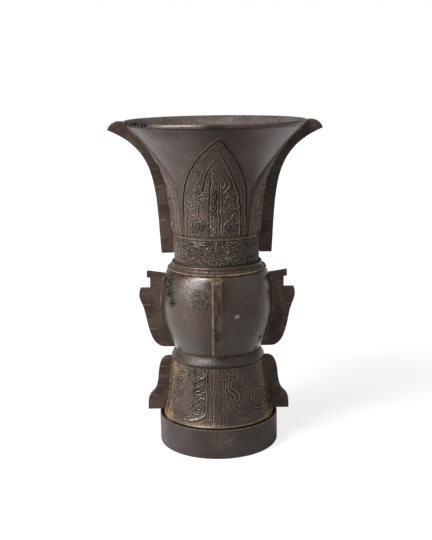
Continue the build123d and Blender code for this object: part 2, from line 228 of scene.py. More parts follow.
def run_tree(name, mesh, tree, values):
    """Runs a Geometry Nodes tree on a mesh and returns the result as a new object."""
    guide = new_object(name + "_guide", mesh)
    modifier = guide.modifiers.new(tree.name, "NODES")
    modifier.node_group = tree
    for item in tree.interface.items_tree:
        if item.in_out == "INPUT" and item.name in values:
            modifier[item.identifier] = values[item.name]
    result = baked(guide)
    bpy.data.objects.remove(guide)
    return new_object(name, result)


def new_tree(name, inputs):
    """An empty Geometry Nodes tree with a geometry input, named inputs and a geometry output."""
    tree = bpy.data.node_groups.new(name, "GeometryNodeTree")
    tree.interface.new_socket("Geometry", in_out="INPUT", socket_type="NodeSocketGeometry")
    for label, kind in inputs.items():
        tree.interface.new_socket(label, in_out="INPUT", socket_type=kind)
    tree.interface.new_socket("Geometry", in_out="OUTPUT", socket_type="NodeSocketGeometry")
    return tree, node(tree, "NodeGroupInput").outputs


# Geometry Nodes trees

def turned_casting_tree():
    """Swings an outline round the axis, and lets the wall wave a little inwards as cast metal does."""
    tree, given = new_tree("turned_casting", {
        "Segments": "NodeSocketInt",
        "Guide Radius": "NodeSocketFloat",
        "Waviness": "NodeSocketFloat",
        "Wave Size": "NodeSocketFloat",
        "Seed": "NodeSocketFloat",
        "Material": "NodeSocketMaterial",
    })
    outline = node(tree, "GeometryNodeMeshToCurve", {"Mesh": given["Geometry"]})
    ring = node(tree, "GeometryNodeCurvePrimitiveCircle", {
        "Resolution": given["Segments"], "Radius": given["Guide Radius"]})
    upright = node(tree, "GeometryNodeSetCurveNormal", {"Curve": ring}, mode="Z_UP")
    wall = node(tree, "GeometryNodeCurveToMesh", {"Curve": upright, "Profile Curve": outline})
    frequency = node(tree, "ShaderNodeMath", {0: 1.0, 1: given["Wave Size"]}, operation="DIVIDE")
    waves = node(tree, "ShaderNodeTexNoise", {
        "W": given["Seed"], "Scale": frequency, "Detail": 2.0}, noise_dimensions="4D")
    inward = node(tree, "ShaderNodeMath", {0: waves, 1: 1.0}, operation="SUBTRACT")
    depth = node(tree, "ShaderNodeMath", {0: inward, 1: given["Waviness"]}, operation="MULTIPLY")
    normal = node(tree, "GeometryNodeInputNormal")
    offset = node(tree, "ShaderNodeVectorMath", {0: normal, "Scale": depth}, operation="SCALE")
    waved = node(tree, "GeometryNodeSetPosition", {"Geometry": wall, "Offset": offset})
    real = node(tree, "GeometryNodeRealizeInstances", {"Geometry": waved})
    finished = node(tree, "GeometryNodeSetMaterial", {"Geometry": real, "Material": given["Material"]})
    node(tree, "NodeGroupOutput", {"Geometry": finished})
    return tree


def joint_bead_tree():
    """Runs an uneven bead along each path, as the deposit lies in the angle of a joint."""
    tree, given = new_tree("joint_bead", {
        "Bead Radius": "NodeSocketFloat",
        "Step": "NodeSocketFloat",
        "Lump Size": "NodeSocketFloat",
        "Thinnest": "NodeSocketFloat",
        "Seed": "NodeSocketFloat",
        "Material": "NodeSocketMaterial",
    })
    path = node(tree, "GeometryNodeMeshToCurve", {"Mesh": given["Geometry"]})
    even = node(tree, "GeometryNodeResampleCurve", {"Curve": path, "Length": given["Step"]}, mode="LENGTH")
    frequency = node(tree, "ShaderNodeMath", {0: 1.0, 1: given["Lump Size"]}, operation="DIVIDE")
    lumps = node(tree, "ShaderNodeTexNoise", {
        "W": given["Seed"], "Scale": frequency, "Detail": 3.0}, noise_dimensions="4D")
    swell = node(tree, "ShaderNodeMapRange", {0: lumps, 1: 0.36, 2: 0.66, 3: given["Thinnest"], 4: 1.6})
    section = node(tree, "GeometryNodeCurvePrimitiveCircle", {
        "Resolution": 7, "Radius": given["Bead Radius"]})
    bead = node(tree, "GeometryNodeCurveToMesh", {
        "Curve": even, "Profile Curve": section, "Scale": swell, "Fill Caps": True})
    real = node(tree, "GeometryNodeRealizeInstances", {"Geometry": bead})
    finished = node(tree, "GeometryNodeSetMaterial", {"Geometry": real, "Material": given["Material"]})
    node(tree, "NodeGroupOutput", {"Geometry": finished})
    return tree


# Materials

# Sizes of spots and depths are in millimetres. The grain of a real casting is finer than the grit here, which
# is drawn as coarse as it needs to show.
pit_black = "#0D0A09"
dimple_depth = 0.5
grain_depth = 0.25
pit_depth = 0.6
pit_strength = 0.8
peel_gain = 1.2
speckle_in_grain = 0.6
hollow_roughness = 0.25
pit_roughness = 0.5


def patina(name, deep, body, light, look):
    """Patinated cast bronze: cloudy browns, under layers that the piece's attributes ask for."""
    material = bpy.data.materials.new(name)
    material.use_nodes = True
    tree = material.node_tree
    tree.nodes.clear()
    place = node(tree, "ShaderNodeTexCoord").outputs["Object"]

    def spots(size, detail, seed):
        """A pattern of spots of a size."""
        moved = node(tree, "ShaderNodeMapping", {"Vector": place, "Location": (seed, seed * 0.7, seed * 1.3)})
        return node(tree, "ShaderNodeTexNoise", {"Vector": moved, "Scale": 1 / (size * MM), "Detail": detail})

    speckle = spots(look["speckle"], 3.0, 0.37)
    grit = spots(look["grit"], 2.0, 0.71)
    rub_and_highlight_from = look["rub_and_highlight_from"]
    # Each layer has a colour, a share, and a pattern with the values at which its spots begin and are full.
    # The layer of painted shade and dark stains has no pattern of its own.
    skin_layers = {
        "cloud": (body, 1.0, spots(look["cloud"], 5.0, 0.11), 0.34, 0.66),
        "speckle": (light, look["mottle"], speckle, 0.5, 0.8),
        "grit": (deep, 0.5, grit, 0.56, 0.75),
    }
    # The dark layer in the shadow colour is painted shade in hollows, creases and under edges, together with
    # real dark stains; the pale rubbed layer is worn metal, and in places a painted highlight.
    painted_layers = {
        "russet": (look["russet"], 1.0, spots(4.0, 4.0, 0.53), 0.42, 0.62),
        "shade_and_stain": (look["shadow"], 0.85, None, 0.0, 1.0),
        "ochre": (look["ochre"], 1.0, spots(1.6, 4.0, 0.23), 0.3, 0.62),
        "rub_and_highlight": (look["rub_and_highlight_colour"], look["rub_and_highlight_share"], spots(2.6, 3.0, 0.91), rub_and_highlight_from, rub_and_highlight_from + 0.4),
        "pit": (pit_black, 1.0, spots(1.5, 2.0, 0.43), 0.44, 0.52),
    }
    colour = linear(deep)
    cover = {}
    for label, (tint, share, pattern, low, high) in (skin_layers | painted_layers).items():
        patch = 1.0
        if pattern:
            patch = node(tree, "ShaderNodeMapRange", {0: pattern, 1: low, 2: high, 3: 0.0, 4: 1.0},
                         interpolation_type="SMOOTHSTEP")
        if label in painted_layers:
            painted = node(tree, "ShaderNodeAttribute", attribute_name=label).outputs["Fac"]
            patch = node(tree, "ShaderNodeMath", {0: painted, 1: patch}, operation="MULTIPLY")
        cover[label] = patch
        shown = node(tree, "ShaderNodeMath", {0: patch, 1: share}, operation="MULTIPLY")
        mixed = node(tree, "ShaderNodeMix", {0: shown, 6: colour, 7: linear(tint)}, data_type="RGBA")
        colour = mixed.outputs[2]

    rough = look["rough"]
    for patch, gain in (
        (speckle, look["rough_range"]),
        (cover["shade_and_stain"], hollow_roughness),
        (cover["ochre"], hollow_roughness),
        (cover["rub_and_highlight"], look["rub_polish"]),
        (cover["pit"], pit_roughness),
    ):
        rough = node(tree, "ShaderNodeMath", {0: patch, 1: gain, 2: rough}, operation="MULTIPLY_ADD")
    peel = node(tree, "ShaderNodeAttribute", attribute_name="peel").outputs["Fac"]
    coarser_grit = node(tree, "ShaderNodeMath", {0: peel, 1: peel_gain, 2: 1.0}, operation="MULTIPLY_ADD")
    fine = node(tree, "ShaderNodeMath", {0: speckle, 1: speckle_in_grain}, operation="MULTIPLY")
    pebbles = node(tree, "ShaderNodeMath", {0: grit, 1: coarser_grit, 2: fine}, operation="MULTIPLY_ADD")
    dimples = node(tree, "ShaderNodeBump", {
        "Height": spots(look["dimple"], 2.0, 0.19), "Strength": look["dimple_strength"],
        "Distance": dimple_depth * MM})
    grain = node(tree, "ShaderNodeBump", {
        "Height": pebbles, "Strength": look["grain_strength"],
        "Distance": grain_depth * MM, "Normal": dimples})
    holes = node(tree, "ShaderNodeBump", {
        "Height": cover["pit"], "Strength": pit_strength,
        "Distance": pit_depth * MM, "Normal": grain}, invert=True)
    # wax stays off the hollows
    waxed = node(tree, "ShaderNodeMath", {
        0: cover["rub_and_highlight"], 1: look["rub_wax"], 2: look["wax"]}, operation="MULTIPLY_ADD")
    hollow = node(tree, "ShaderNodeMath", {0: cover["shade_and_stain"], 1: cover["pit"]}, operation="MAXIMUM")
    open_skin = node(tree, "ShaderNodeMath", {0: 1.0, 1: hollow}, operation="SUBTRACT")
    wax = node(tree, "ShaderNodeMath", {0: waxed, 1: open_skin}, operation="MULTIPLY")
    # a black pit shines as little as its colour, which is what a metal of that colour does
    metal = node(tree, "ShaderNodeMath", {
        0: cover["pit"], 1: 1 - look["metallic"], 2: look["metallic"]}, operation="MULTIPLY_ADD")
    shader = node(tree, "ShaderNodeBsdfPrincipled", {
        "Base Color": colour, "Roughness": rough, "Normal": holes,
        "Metallic": metal, "Specular IOR Level": look["specular"],
        "Coat Weight": wax, "Coat Roughness": look["wax_rough"], "Coat Normal": holes})
    node(tree, "ShaderNodeOutputMaterial", {"Surface": shader})
    return material


# A waxed brown-black skin over cast bronze: smooth and half glossy, with neutral highlights
smooth_look = {
    "cloud": 22.0, "speckle": 3.0, "grit": 0.9, "mottle": 0.5, "dimple": 5.0, "dimple_strength": 0.2,
    "grain_strength": 0.3, "rough": 0.24, "rough_range": 0.16, "metallic": 0.25, "specular": 0.68,
    "rub_and_highlight_share": 0.5, "rub_and_highlight_from": 0.2, "rub_polish": -0.14, "wax": 0.35, "rub_wax": 0.5, "wax_rough": 0.24,
    "russet": "#573C2E", "shadow": "#0E0A08", "ochre": "#7B6848", "rub_and_highlight_colour": "#8A7A6C",
}
# On the bulb the wax is thicker and shines more, over a finely pebbled skin
bulb_look = dict(
    smooth_look, speckle=1.8, grit=0.8, dimple_strength=0.1, grain_strength=0.5, rough=0.2, rough_range=0.2,
    specular=0.7, metallic=0.35, rub_and_highlight_share=1.0, rub_and_highlight_from=0.0, wax=1.0, rub_wax=0.0, wax_rough=0.18,
    russet="#6E4A38", rub_and_highlight_colour="#B8A08A")
# The waist ring is duller than the bulb, with a stronger grain
ring_look = dict(
    bulb_look, metallic=0.25, grain_strength=0.8, rough=0.3, specular=0.45, wax=0.65, wax_rough=0.2)
# The same skin on cast relief, dry in the hollows, with painted shade in them and the raised lines paler,
# partly as wear and partly as painted highlight
relief_look = dict(
    smooth_look, cloud=14.0, speckle=2.0, grit=0.7, mottle=0.5, grain_strength=0.2, rough=0.3,
    dimple_strength=0.1, specular=0.42, rub_and_highlight_share=0.5, rub_and_highlight_from=0.1, rub_polish=-0.16, wax=0.0, rub_wax=1.0,
    wax_rough=0.18, russet="#6B4630", ochre="#B09468", rub_and_highlight_colour="#998776")
# The flanges keep a browner and duller cast skin
flange_look = dict(
    smooth_look, cloud=12.0, speckle=2.2, grit=0.8, mottle=0.4, grain_strength=0.25, rough=0.42,
    specular=0.4, rub_and_highlight_share=0.9, rub_polish=-0.06, wax=0.05, rub_wax=0.2, ochre="#8A7560", rub_and_highlight_colour="#7B6450")
# The inside of the mouth has a thin grey bloom over the brown
mouth_look = dict(
    smooth_look, cloud=20.0, mottle=0.8, grain_strength=0.2, rough=0.4, specular=0.4, wax=0.0, rub_wax=0.0)
# The plinth is a plain casting with a matt, even skin
plinth_look = dict(
    smooth_look, cloud=18.0, speckle=2.4, mottle=0.4, grain_strength=0.2, rough=0.36, specular=0.6,
    rub_and_highlight_share=0.9, wax=0.15, rub_wax=0.0)
# Earth and pale corrosion that has stayed in the angles of the joints
deposit_look = dict(
    smooth_look, cloud=4.0, speckle=1.0, grit=0.5, mottle=0.6, grain_strength=0.6, rough=0.6, specular=0.3,
    wax=0.0, rub_wax=0.0)

smooth_bronze = patina("waxed_brown_bronze", "#48352F", "#5C463F", "#755C53", smooth_look)
bulb_bronze = patina("waxed_bulb_bronze", "#3B2A22", "#4B362D", "#5E473A", bulb_look)
ring_bronze = patina("waxed_ring_bronze", "#362821", "#45352D", "#57453B", ring_look)
relief_bronze = patina("cast_relief_bronze", "#41342F", "#5B4C46", "#7B6A60", relief_look)
flange_bronze = patina("dull_flange_bronze", "#43332C", "#5C4B43", "#736055", flange_look)
mouth_bronze = patina("brown_grey_bronze_bloom", "#534A45", "#6F6660", "#847B71", mouth_look)
plinth_bronze = patina("matt_plinth_bronze", "#423632", "#4E423D", "#62554F", plinth_look)
joint_deposit = patina("ochre_joint_deposit", "#665843", "#978567", "#B8A68A", deposit_look)


# Outlines of the castings, as radius and height

flare = curve((
    (neck_radius, band_top),
    (neck_radius + 3.65, band_top + 30.9),
    (lip_root_radius - 34.7, lip_root - 29.7),
    (lip_root_radius, lip_root),
), 110)
throat = curve((
    (rim_radius - rim_wall, rim_top),
    (rim_radius - rim_wall - 34.7, rim_top - 29.7),
    (tube_bore + 3.65, band_top + 30.9),
    (tube_bore, band_top),
), 110)
bulb_low = curve((
    (bulb_base_radius, bulb_base),
    (bulb_base_radius + 3.7, bulb_base + 7.2),
    (belly_radius, belly - 15.8),
    (belly_radius, belly),
), 60)
bulb_high = curve((
    (belly_radius, belly),
    (belly_radius, belly + 9.1),
    (bulb_mouth_radius + 4.0, bulb_top - 0.2),
    (bulb_mouth_radius, bulb_top),
), 60)
bulb_outline = np.vstack([bulb_low, bulb_high[1:]])
foot_outline = curve((
    (foot_lip_radius, foot_seat + foot_lip_height),
    (foot_lip_radius - 4.9, foot_seat + foot_lip_height + 7.3),
    (foot_top_radius + 2.1, foot_top - 20.9),
    (foot_top_radius, foot_top),
), 80)


def eased(outline, radius):
    """A closed outline whose sharp corners are rounded off, as worn castings are."""
    points = np.asarray(outline, float)
    result = []
    for before, corner, after in zip(np.roll(points, 1, 0), points, np.roll(points, -1, 0)):
        back, ahead = before - corner, after - corner
        back_run, ahead_run = np.linalg.norm(back), np.linalg.norm(ahead)
        bend = np.dot(back, ahead) / (back_run * ahead_run)
        if bend < -0.9:
            result.append(corner)
            continue
        start = corner + back / back_run * min(radius, 0.45 * back_run)
        end = corner + ahead / ahead_run * min(radius, 0.45 * ahead_run)
        for t in np.linspace(0, 1, 5):
            result.append((1 - t) ** 2 * start + 2 * t * (1 - t) * corner + t * t * end)
    return np.array(result)


turned_casting = turned_casting_tree()
joint_bead = joint_bead_tree()
# The circle that an outline is swung along
guide_radius = 10.0


def turn(name, outline, material, segments, waviness, seed, wave_size=16.0, sharp_angle=50):
    """A turned casting from a closed outline."""
    points = [((r - guide_radius) * MM, -z * MM, 0) for r, z in outline[::-1]]
    count = len(points)
    mesh = bpy.data.meshes.new(name + "_outline")
    mesh.from_pydata(points, [(i, (i + 1) % count) for i in range(count)], [])
    made = run_tree(name, mesh, turned_casting, {
        "Segments": segments, "Guide Radius": guide_radius * MM, "Waviness": waviness * MM,
        "Wave Size": wave_size * MM, "Seed": float(seed), "Material": material})
    finish_mesh(made.data, sharp_angle)
    return made


def near(places, angle, height, size):
    """1 at a place given by its angle from the front and its height, falling to 0 at a distance."""
    x, y, z = places.T
    turned = np.degrees(np.arctan2(x, -y))
    along = np.radians((turned - angle + 180) % 360 - 180) * np.hypot(x, y)
    return 1 - smooth(0.35, 1.0, np.hypot(along, z - height) / size)


def trumpet():
    """The flared mouth, its lip, the throat, and the tube that passes down into the bulb."""
    lip = [
        (rim_radius - 0.35, rim_top - lip_height),
        (rim_radius, rim_top - 1.7),
        (rim_radius - 0.05, rim_top - 1.0),
        (rim_radius - 0.45, rim_top - 0.35),
        (rim_radius - 1.2, rim_top),
        (rim_radius - 2.0, rim_top - 0.2),
        (rim_radius - rim_wall + 0.25, rim_top - 0.7),
    ]
    outline = eased(np.vstack([
        flare,
        lip,
        throat[throat[:, 1] < rim_top - 1.2],
        [(tube_bore, tube_end), (tube_radius, tube_end), (tube_radius, band_top)],
    ]), 0.55)
    made = turn("trumpet_shell", outline, smooth_bronze, 288, 0.18, 3)
    mesh = made.data
    mesh.materials.append(mouth_bronze)
    centres = np.array([face.center[:] for face in mesh.polygons])
    normals = np.array([face.normal[:] for face in mesh.polygons])
    inside = (centres[:, 0] * normals[:, 0] + centres[:, 1] * normals[:, 1]) < -1e-5
    mesh.polygons.foreach_set("material_index", inside.astype(np.int32))
    places = coordinates(mesh)
    x, y, height = places.T
    radius = np.hypot(x, y)
    outside = radius > radius_at(flare, height) - 0.8
    on_lip = smooth(lip_root + 0.2, lip_root + 0.9, height)
    on_lip = on_lip * smooth(rim_radius - 2.8, rim_radius - 2.2, radius)
    lip_middle = rim_top - 1.4
    worn_front = near(places, 0, lip_middle, 11) * on_lip
    left_end = near(places, -60, lip_middle, 33) * on_lip
    # the lip gets a painted highlight, paler and glossier, on its left half, and only a little on its right
    # half
    right_half = smooth(-10, 10, x)
    paint(mesh, "rub_and_highlight", (on_lip - left_end - worn_front) * (1 - 0.8 * right_half))
    paint(mesh, "russet", worn_front)
    under_lip = outside * (1 - smooth(0.2, 0.9, np.abs(height - lip_root)))
    shaded = outside * near(places, 0, lip_root - 4, 40) * smooth(lip_root - 14, lip_root, height)
    crease = outside * (1 - smooth(band_top + 0.9, band_top + 2.4, height)) * (height > band_top - 2)
    blotches = left_end * smooth(0.38, 0.55, noise(y + 90, x + 90, 3.0, 29))
    # painted shade under the lip, over the top of the flare in front and in the crease above the band, with
    # the dark front patch of the lip and the black blotches at its left end
    dark = 0.8 * under_lip + 0.4 * shaded + crease + 0.6 * worn_front + blotches
    paint(mesh, "shade_and_stain", np.clip(dark, 0, 1))
    granular = near(places, -46, rim_top - 5, 9) + near(places, -36, rim_top - 5.5, 10)
    granular = granular + near(places, -26, rim_top - 4, 8) + 0.4 * near(places, 4, rim_top - 8, 26)
    paint(mesh, "pit", np.clip(left_end + 0.28 * outside * granular * (1 - on_lip), 0, 1))
    peeled = np.maximum(near(places, 50, rim_top - 10, 17), near(places, -40, rim_top - 9, 15))
    paint(mesh, "peel", 3.0 * outside * peeled)
    beside_flange = 1 - smooth(3.0, 6.5, np.abs(y))
    root = outside * (height > band_top) * beside_flange * (height < rim_top - 12)
    paint(mesh, "ochre", 0.55 * root)
    settle(made, "bronze_shell", "trumpet")


def bulb():
    """The jar-shaped middle."""
    outline = eased(np.vstack([
        bulb_outline,
        [(neck_bore, bulb_top), (neck_bore, bulb_top - bulb_wall)],
        [(neck_bore + mouth_ledge, bulb_top - bulb_wall)],
        bulb_high[-8:0:-1] - (bulb_wall, 0),
        bulb_low[::-1] - (bulb_wall, 0),
    ]), 0.4)
    made = turn("bulb_shell", outline, bulb_bronze, 288, 0.25, 7)
    mesh = made.data
    places = coordinates(mesh)
    x, y, z = places.T

    def marked(*marks):
        """1 at each mark, which has an angle from the front, a height over the belly and a size."""
        return np.max([near(places, angle, belly + up, size) for angle, up, size in marks], 0)

    pits = marked(
        (-72, 18.5, 7), (-60, 19.5, 8), (-62, 13.5, 8), (-56, 10.5, 8), (-51, 5.5, 6), (56, -23.9, 4))
    paint(mesh, "pit", np.clip(0.85 * pits + 0.5 * marked((-15, 8.5, 12)), 0, 1))
    paint(mesh, "peel", np.maximum(marked((-34, 16.5, 15)), 2.8 * marked((-16, 9.5, 14))))
    warm = marked((-55, -1.0, 8), (-34, -4.3, 7), (-27, -6.6, 6), (52, 4.5, 9))
    paint(mesh, "russet", 0.55 * warm)
    paint(mesh, "rub_and_highlight", marked((18.2, -3.1, 1.3), (20.2, -2.6, 1.7)))
    beside_bar = (1 - smooth(bar_width / 2 + 0.4, bar_width / 2 + 1.6, np.abs(x))) * (np.abs(y) > 20)
    half = bulb_flange_thickness / 2
    beside_flange = 1 - smooth(half + 0.4, half + 2.0, np.abs(y))
    paint(mesh, "ochre", np.clip(0.5 * beside_bar + 0.8 * beside_flange, 0, 1))
    settle(made, "bronze_shell", "bulb")


def neck_ring():
    """The neck ring, with its bead over a bevelled skirt."""
    valley = band_base - bead_height
    hollow = flow([
        (skirt_radius, bulb_top + 0.6),
        (bead_radius + 1.3, bulb_top + 1.25),
        (bead_radius + 0.2, valley - 0.5),
        (bead_radius - 0.35, valley + 0.2),
        (bead_radius - 0.3, valley + 0.9),
        (bead_radius, valley + 1.7),
        (bead_radius - 0.05, valley + 2.3),
        (bead_radius - 0.5, band_base - 0.12),
        (bead_radius - 1.6, band_base),
    ], 3)
    outline = eased(np.vstack([
        [(neck_bore, bulb_top), (skirt_radius, bulb_top)],
        hollow,
        [(neck_bore, band_base)],
    ]), 0.2)
    ring = turn("neck_ring_bead", outline, smooth_bronze, 256, 0.1, 11, wave_size=9.0, sharp_angle=40)
    places = coordinates(ring.data)
    radius = np.hypot(places[:, 0], places[:, 1])
    edge = smooth(skirt_radius - 0.7, skirt_radius - 0.2, radius)
    bright_edge = edge * (1 - smooth(bulb_top + 0.2, bulb_top + 0.7, places[:, 2]))
    paint(ring.data, "ochre", np.maximum(0.3, bright_edge))
    # The seam under the band and the bead's valley get painted shade, broken into mottles by the noise below,
    # and the skirt a lighter mottled darkening.
    seam = (radius < bead_radius - 0.5) * (radius > band_foot_radius - 0.6) * (places[:, 2] > band_base - 0.6)
    low = 1 - smooth(0.3, 1.6, np.abs(places[:, 2] - valley + 0.3))
    around = np.arctan2(places[:, 0], -places[:, 1]) * skirt_radius
    worn = 0.15 + 0.85 * smooth(0.35, 0.65, noise(around + 200, places[:, 2], 1.5, 15))
    low = np.maximum(low, 0.4 * (radius > bead_radius + 0.3))
    paint(ring.data, "shade_and_stain", np.clip(seam + 0.85 * low * worn * (radius > bead_radius - 0.8), 0, 1))
    settle(ring, "bronze_shell", "neck_ring")


def waist_ring():
    """The waist ring, a bevelled collar with a rebate for the floor plate."""
    roll = flow([
        (waist_radius - 0.6, foot_top),
        (waist_radius, foot_top + 0.75 * waist_edge),
        (waist_radius - 0.45, foot_top + 1.45 * waist_edge),
        (waist_radius - 1.15, foot_top + 2.2 * waist_edge),
        (waist_top_radius + 0.75, bulb_base - 1.9),
        (waist_top_radius + 0.1, bulb_base - 0.6),
        (waist_top_radius, bulb_base),
    ], 4)
    outline = eased(np.vstack([
        [(waist_bore, spigot_low), (lower_spigot_radius, spigot_low), (lower_spigot_radius, foot_top)],
        roll,
        [(upper_spigot_radius, bulb_base), (upper_spigot_radius, spigot_high)],
        [(floor_seat_radius, spigot_high), (floor_seat_radius, spigot_high - floor_thickness)],
        [(waist_bore, spigot_high - floor_thickness)],
    ]), 0.4)
    collar = turn("waist_collar", outline, ring_bronze, 256, 0.15, 13, wave_size=9.0, sharp_angle=40)
    places = coordinates(collar.data)
    radius = np.hypot(places[:, 0], places[:, 1])
    # painted shade in the crease under the bulb and along the ring's lower edge
    crease = 1 - smooth(0.5, 2.6, bulb_base - places[:, 2])
    low_edge = 1 - smooth(0.1, 0.8, places[:, 2] - foot_top)
    paint(collar.data, "shade_and_stain", np.clip(0.85 * crease + 0.8 * low_edge, 0, 1))
    paint(collar.data, "ochre", 0.7 * crease * (radius > waist_top_radius - 0.3))
    paint(collar.data, "peel", np.full(len(places), 0.5))
    settle(collar, "bronze_shell", "waist_ring")


def plinth():
    """The plain band under the foot, with its thin upstanding rim."""
    outline = eased(np.array([
        (plinth_bore, 0.0),
        (plinth_radius - 1.2, 0.0),
        (plinth_radius - 0.35, 0.35),
        *((plinth_radius, z) for z in np.linspace(1.2, plinth_top, 48)),
        (groove_radius, plinth_top),
        (groove_radius, foot_seat),
        (upstand_radius, foot_seat),
        (upstand_radius, foot_seat + upstand_height),
        (upstand_bore, foot_seat + upstand_height),
        (upstand_bore, foot_seat - plinth_ledge),
        (plinth_bore, foot_seat - plinth_ledge),
    ]), 0.5)
    made = turn("plinth_band", outline, plinth_bronze, 320, 0.12, 17, wave_size=12.0)
    places = coordinates(made.data)
    radius = np.hypot(places[:, 0], places[:, 1])
    # the rim's top edge is painted paler and gold, partly as edge wear and partly as a painted highlight
    rim = smooth(plinth_top - 0.5, plinth_top - 0.1, places[:, 2])
    foot_edge = (1 - smooth(0.4, 1.3, places[:, 2])) * (radius > plinth_bore + 1)
    scuffed = ((-4, 15), (4, 12), (11, 13), (3, 17))
    scuffs = np.max([near(places, angle, height, 6) for angle, height in scuffed], 0)
    scuffs = scuffs * smooth(0.55, 0.7, noise((places[:, 0] + 80) / 3, places[:, 2], 0.6, 19))
    paint(made.data, "rub_and_highlight", np.clip(0.6 * rim + 0.5 * foot_edge + 0.45 * scuffs, 0, 1))
    paint(made.data, "ochre", np.clip(0.7 * foot_edge + 0.5 * rim, 0, 1))
    # painted shade in the groove round the foot's lip
    groove = (radius < groove_radius + 0.2) * (radius > foot_lip_radius - 0.6)
    paint(made.data, "shade_and_stain", groove * (places[:, 2] < plinth_top - 0.6))
    settle(made, "bronze_plinth", "plinth_ring")


# Relief: drawn lines that raise or sink a surface

class Relief:
    """Heights over a sheet whose points have a place across (a) and a place up (h).

    bold widens all the drawn lines, and lift raises them."""

    def __init__(self, across, up, bold, lift):
        self.a = across
        self.h = up
        self.bold = bold
        self.lift = lift
        self.rise = np.zeros_like(across)
        self.cut = np.zeros_like(across)
        self.polish = np.zeros_like(across)

    def cover(self, points, width):
        """1 along a drawn line and 0 beside it, with soft shoulders."""
        line = np.asarray(points, float)
        half = width * self.bold / 2
        low, high = line.min(0) - half, line.max(0) + half
        inside = (self.a > low[0]) & (self.a < high[0]) & (self.h > low[1]) & (self.h < high[1])
        a, h = self.a[inside], self.h[inside]
        best = np.full(a.shape, half * half)
        for (a0, h0), (a1, h1) in zip(line, line[1:]):
            run = np.array([a1 - a0, h1 - h0])
            t = np.clip(((a - a0) * run[0] + (h - h0) * run[1]) / max(run @ run, 1e-9), 0, 1)
            best = np.minimum(best, (a - a0 - t * run[0]) ** 2 + (h - h0 - t * run[1]) ** 2)
        return inside, 1 - smooth(0.15, 1.0, np.sqrt(best) / half)

    def ridge(self, points, width, height):
        """Raises the surface along a line."""
        inside, shape = self.cover(points, width)
        self.rise[inside] = np.maximum(self.rise[inside], shape * height * self.lift)

    def groove(self, points, width, depth):
        """Sinks the surface along a line."""
        inside, shape = self.cover(points, width)
        self.cut[inside] = np.maximum(self.cut[inside], shape * depth * self.lift)

    def shine(self, points, width):
        """Polishes the surface along a line, which is also painted paler as a painted highlight."""
        inside, shape = self.cover(points, width)
        self.polish[inside] = np.maximum(self.polish[inside], shape)

    def ridges(self, drawings, soft=False):
        """Several ridges, each as its points, width and height; soft ones flow through their points."""
        for points, width, height in drawings:
            self.ridge(flow(points) if soft else points, width, height)

    def oval(self, centre, across, up, width, height, ends=(0, 360), steps=41):
        """An oval ridge, or the part of it between two angles in degrees."""
        angles = np.radians(np.linspace(*ends, steps))
        line = np.column_stack([centre[0] + across * np.cos(angles), centre[1] + up * np.sin(angles)])
        self.ridge(line, width, height)

    def ring(self, centre, radius, width, height):
        """A round ridge."""
        self.oval(centre, radius, radius, width, height, steps=25)

    def dot(self, centre, radius, height):
        """A round boss."""
        self.ridge([centre, (centre[0] + 0.01, centre[1])], 2 * radius, height)

    def eye(self, centre, radius, height):
        """A raised ring with a round pupil."""
        self.ring(centre, radius, 0.42 * radius, height)
        self.dot(centre, 0.45 * radius, height)


def flow(points, steps=7):
    """A smooth line through a few points."""
    p = np.asarray(points, float)
    p = np.vstack([2 * p[0] - p[1], p, 2 * p[-1] - p[-2]])
    result = []
    for a, b, c, d in zip(p, p[1:], p[2:], p[3:]):
        for t in np.linspace(0, 1, steps, endpoint=False):
            result.append(0.5 * (2 * b + (c - a) * t + (2 * a - 5 * b + 4 * c - d) * t * t
                                 + (3 * b - a - 3 * c + d) * t ** 3))
    result.append(p[-2])
    return np.array(result)


def wandered(a, h, amount, size, seed):
    """The places a and h moved a little by noise, so that drawn lines waver as cast ones do."""
    return (a + amount * (noise(a + 60, h, size, seed) - 0.5),
            h + amount * (noise(a + 60, h, size, seed + 1) - 0.5))


def scroll(centre, outer, inner, turns, start, hand=1):
    """A squared spiral from its outer end inwards; start is in degrees."""
    angles = np.linspace(0, 2 * math.pi * turns, int(18 * turns) + 2)
    radius = np.linspace(outer, inner, len(angles))
    c, s = np.cos(angles * hand + math.radians(start)), np.sin(angles * hand + math.radians(start))
    square = (np.abs(c) ** 4 + np.abs(s) ** 4) ** 0.25
    bend = 0.5 + 0.5 / square
    return np.column_stack([centre[0] + radius * bend * c, centre[1] + radius * bend * s])


def thunder(a, h, pitch):
    """Ground of small squared spirals in rows, turning left and right by turns."""
    column, row = np.floor(a / pitch), np.floor(h / pitch)
    u, v = (a / pitch - column - 0.5) * 2, (h / pitch - row - 0.5) * 2
    hand = np.where((column + row) % 2 == 0, 1.0, -1.0)
    reach = (u ** 4 + v ** 4) ** 0.25
    wave = np.abs((reach * 1.7 - np.arctan2(v, u * hand) / (2 * math.pi)) % 1 - 0.5) * 2
    return smooth(0.3, 0.75, wave) * (1 - smooth(0.85, 1.0, reach))


def blurred(field, rounds):
    """The field with its detail averaged away."""
    result = field
    for _ in range(rounds):
        padded = np.pad(result, ((1, 1), (0, 0)), mode="edge")
        result = (padded[:-2] + 2 * result + padded[2:]) / 4
        padded = np.pad(result, ((0, 0), (1, 1)), mode="edge")
        result = (padded[:, :-2] + 2 * result + padded[:, 2:]) / 4
    return result


# The back of a skin has every fourth point of its front
back_step = 4
every_point = (slice(None), slice(None))
back_points = (slice(None, None, back_step), slice(None, None, back_step))


def point_count(length, pitch):
    """How many points lie along a length, so that the back's last point is the front's too."""
    return int(length / pitch) // back_step * back_step + 1


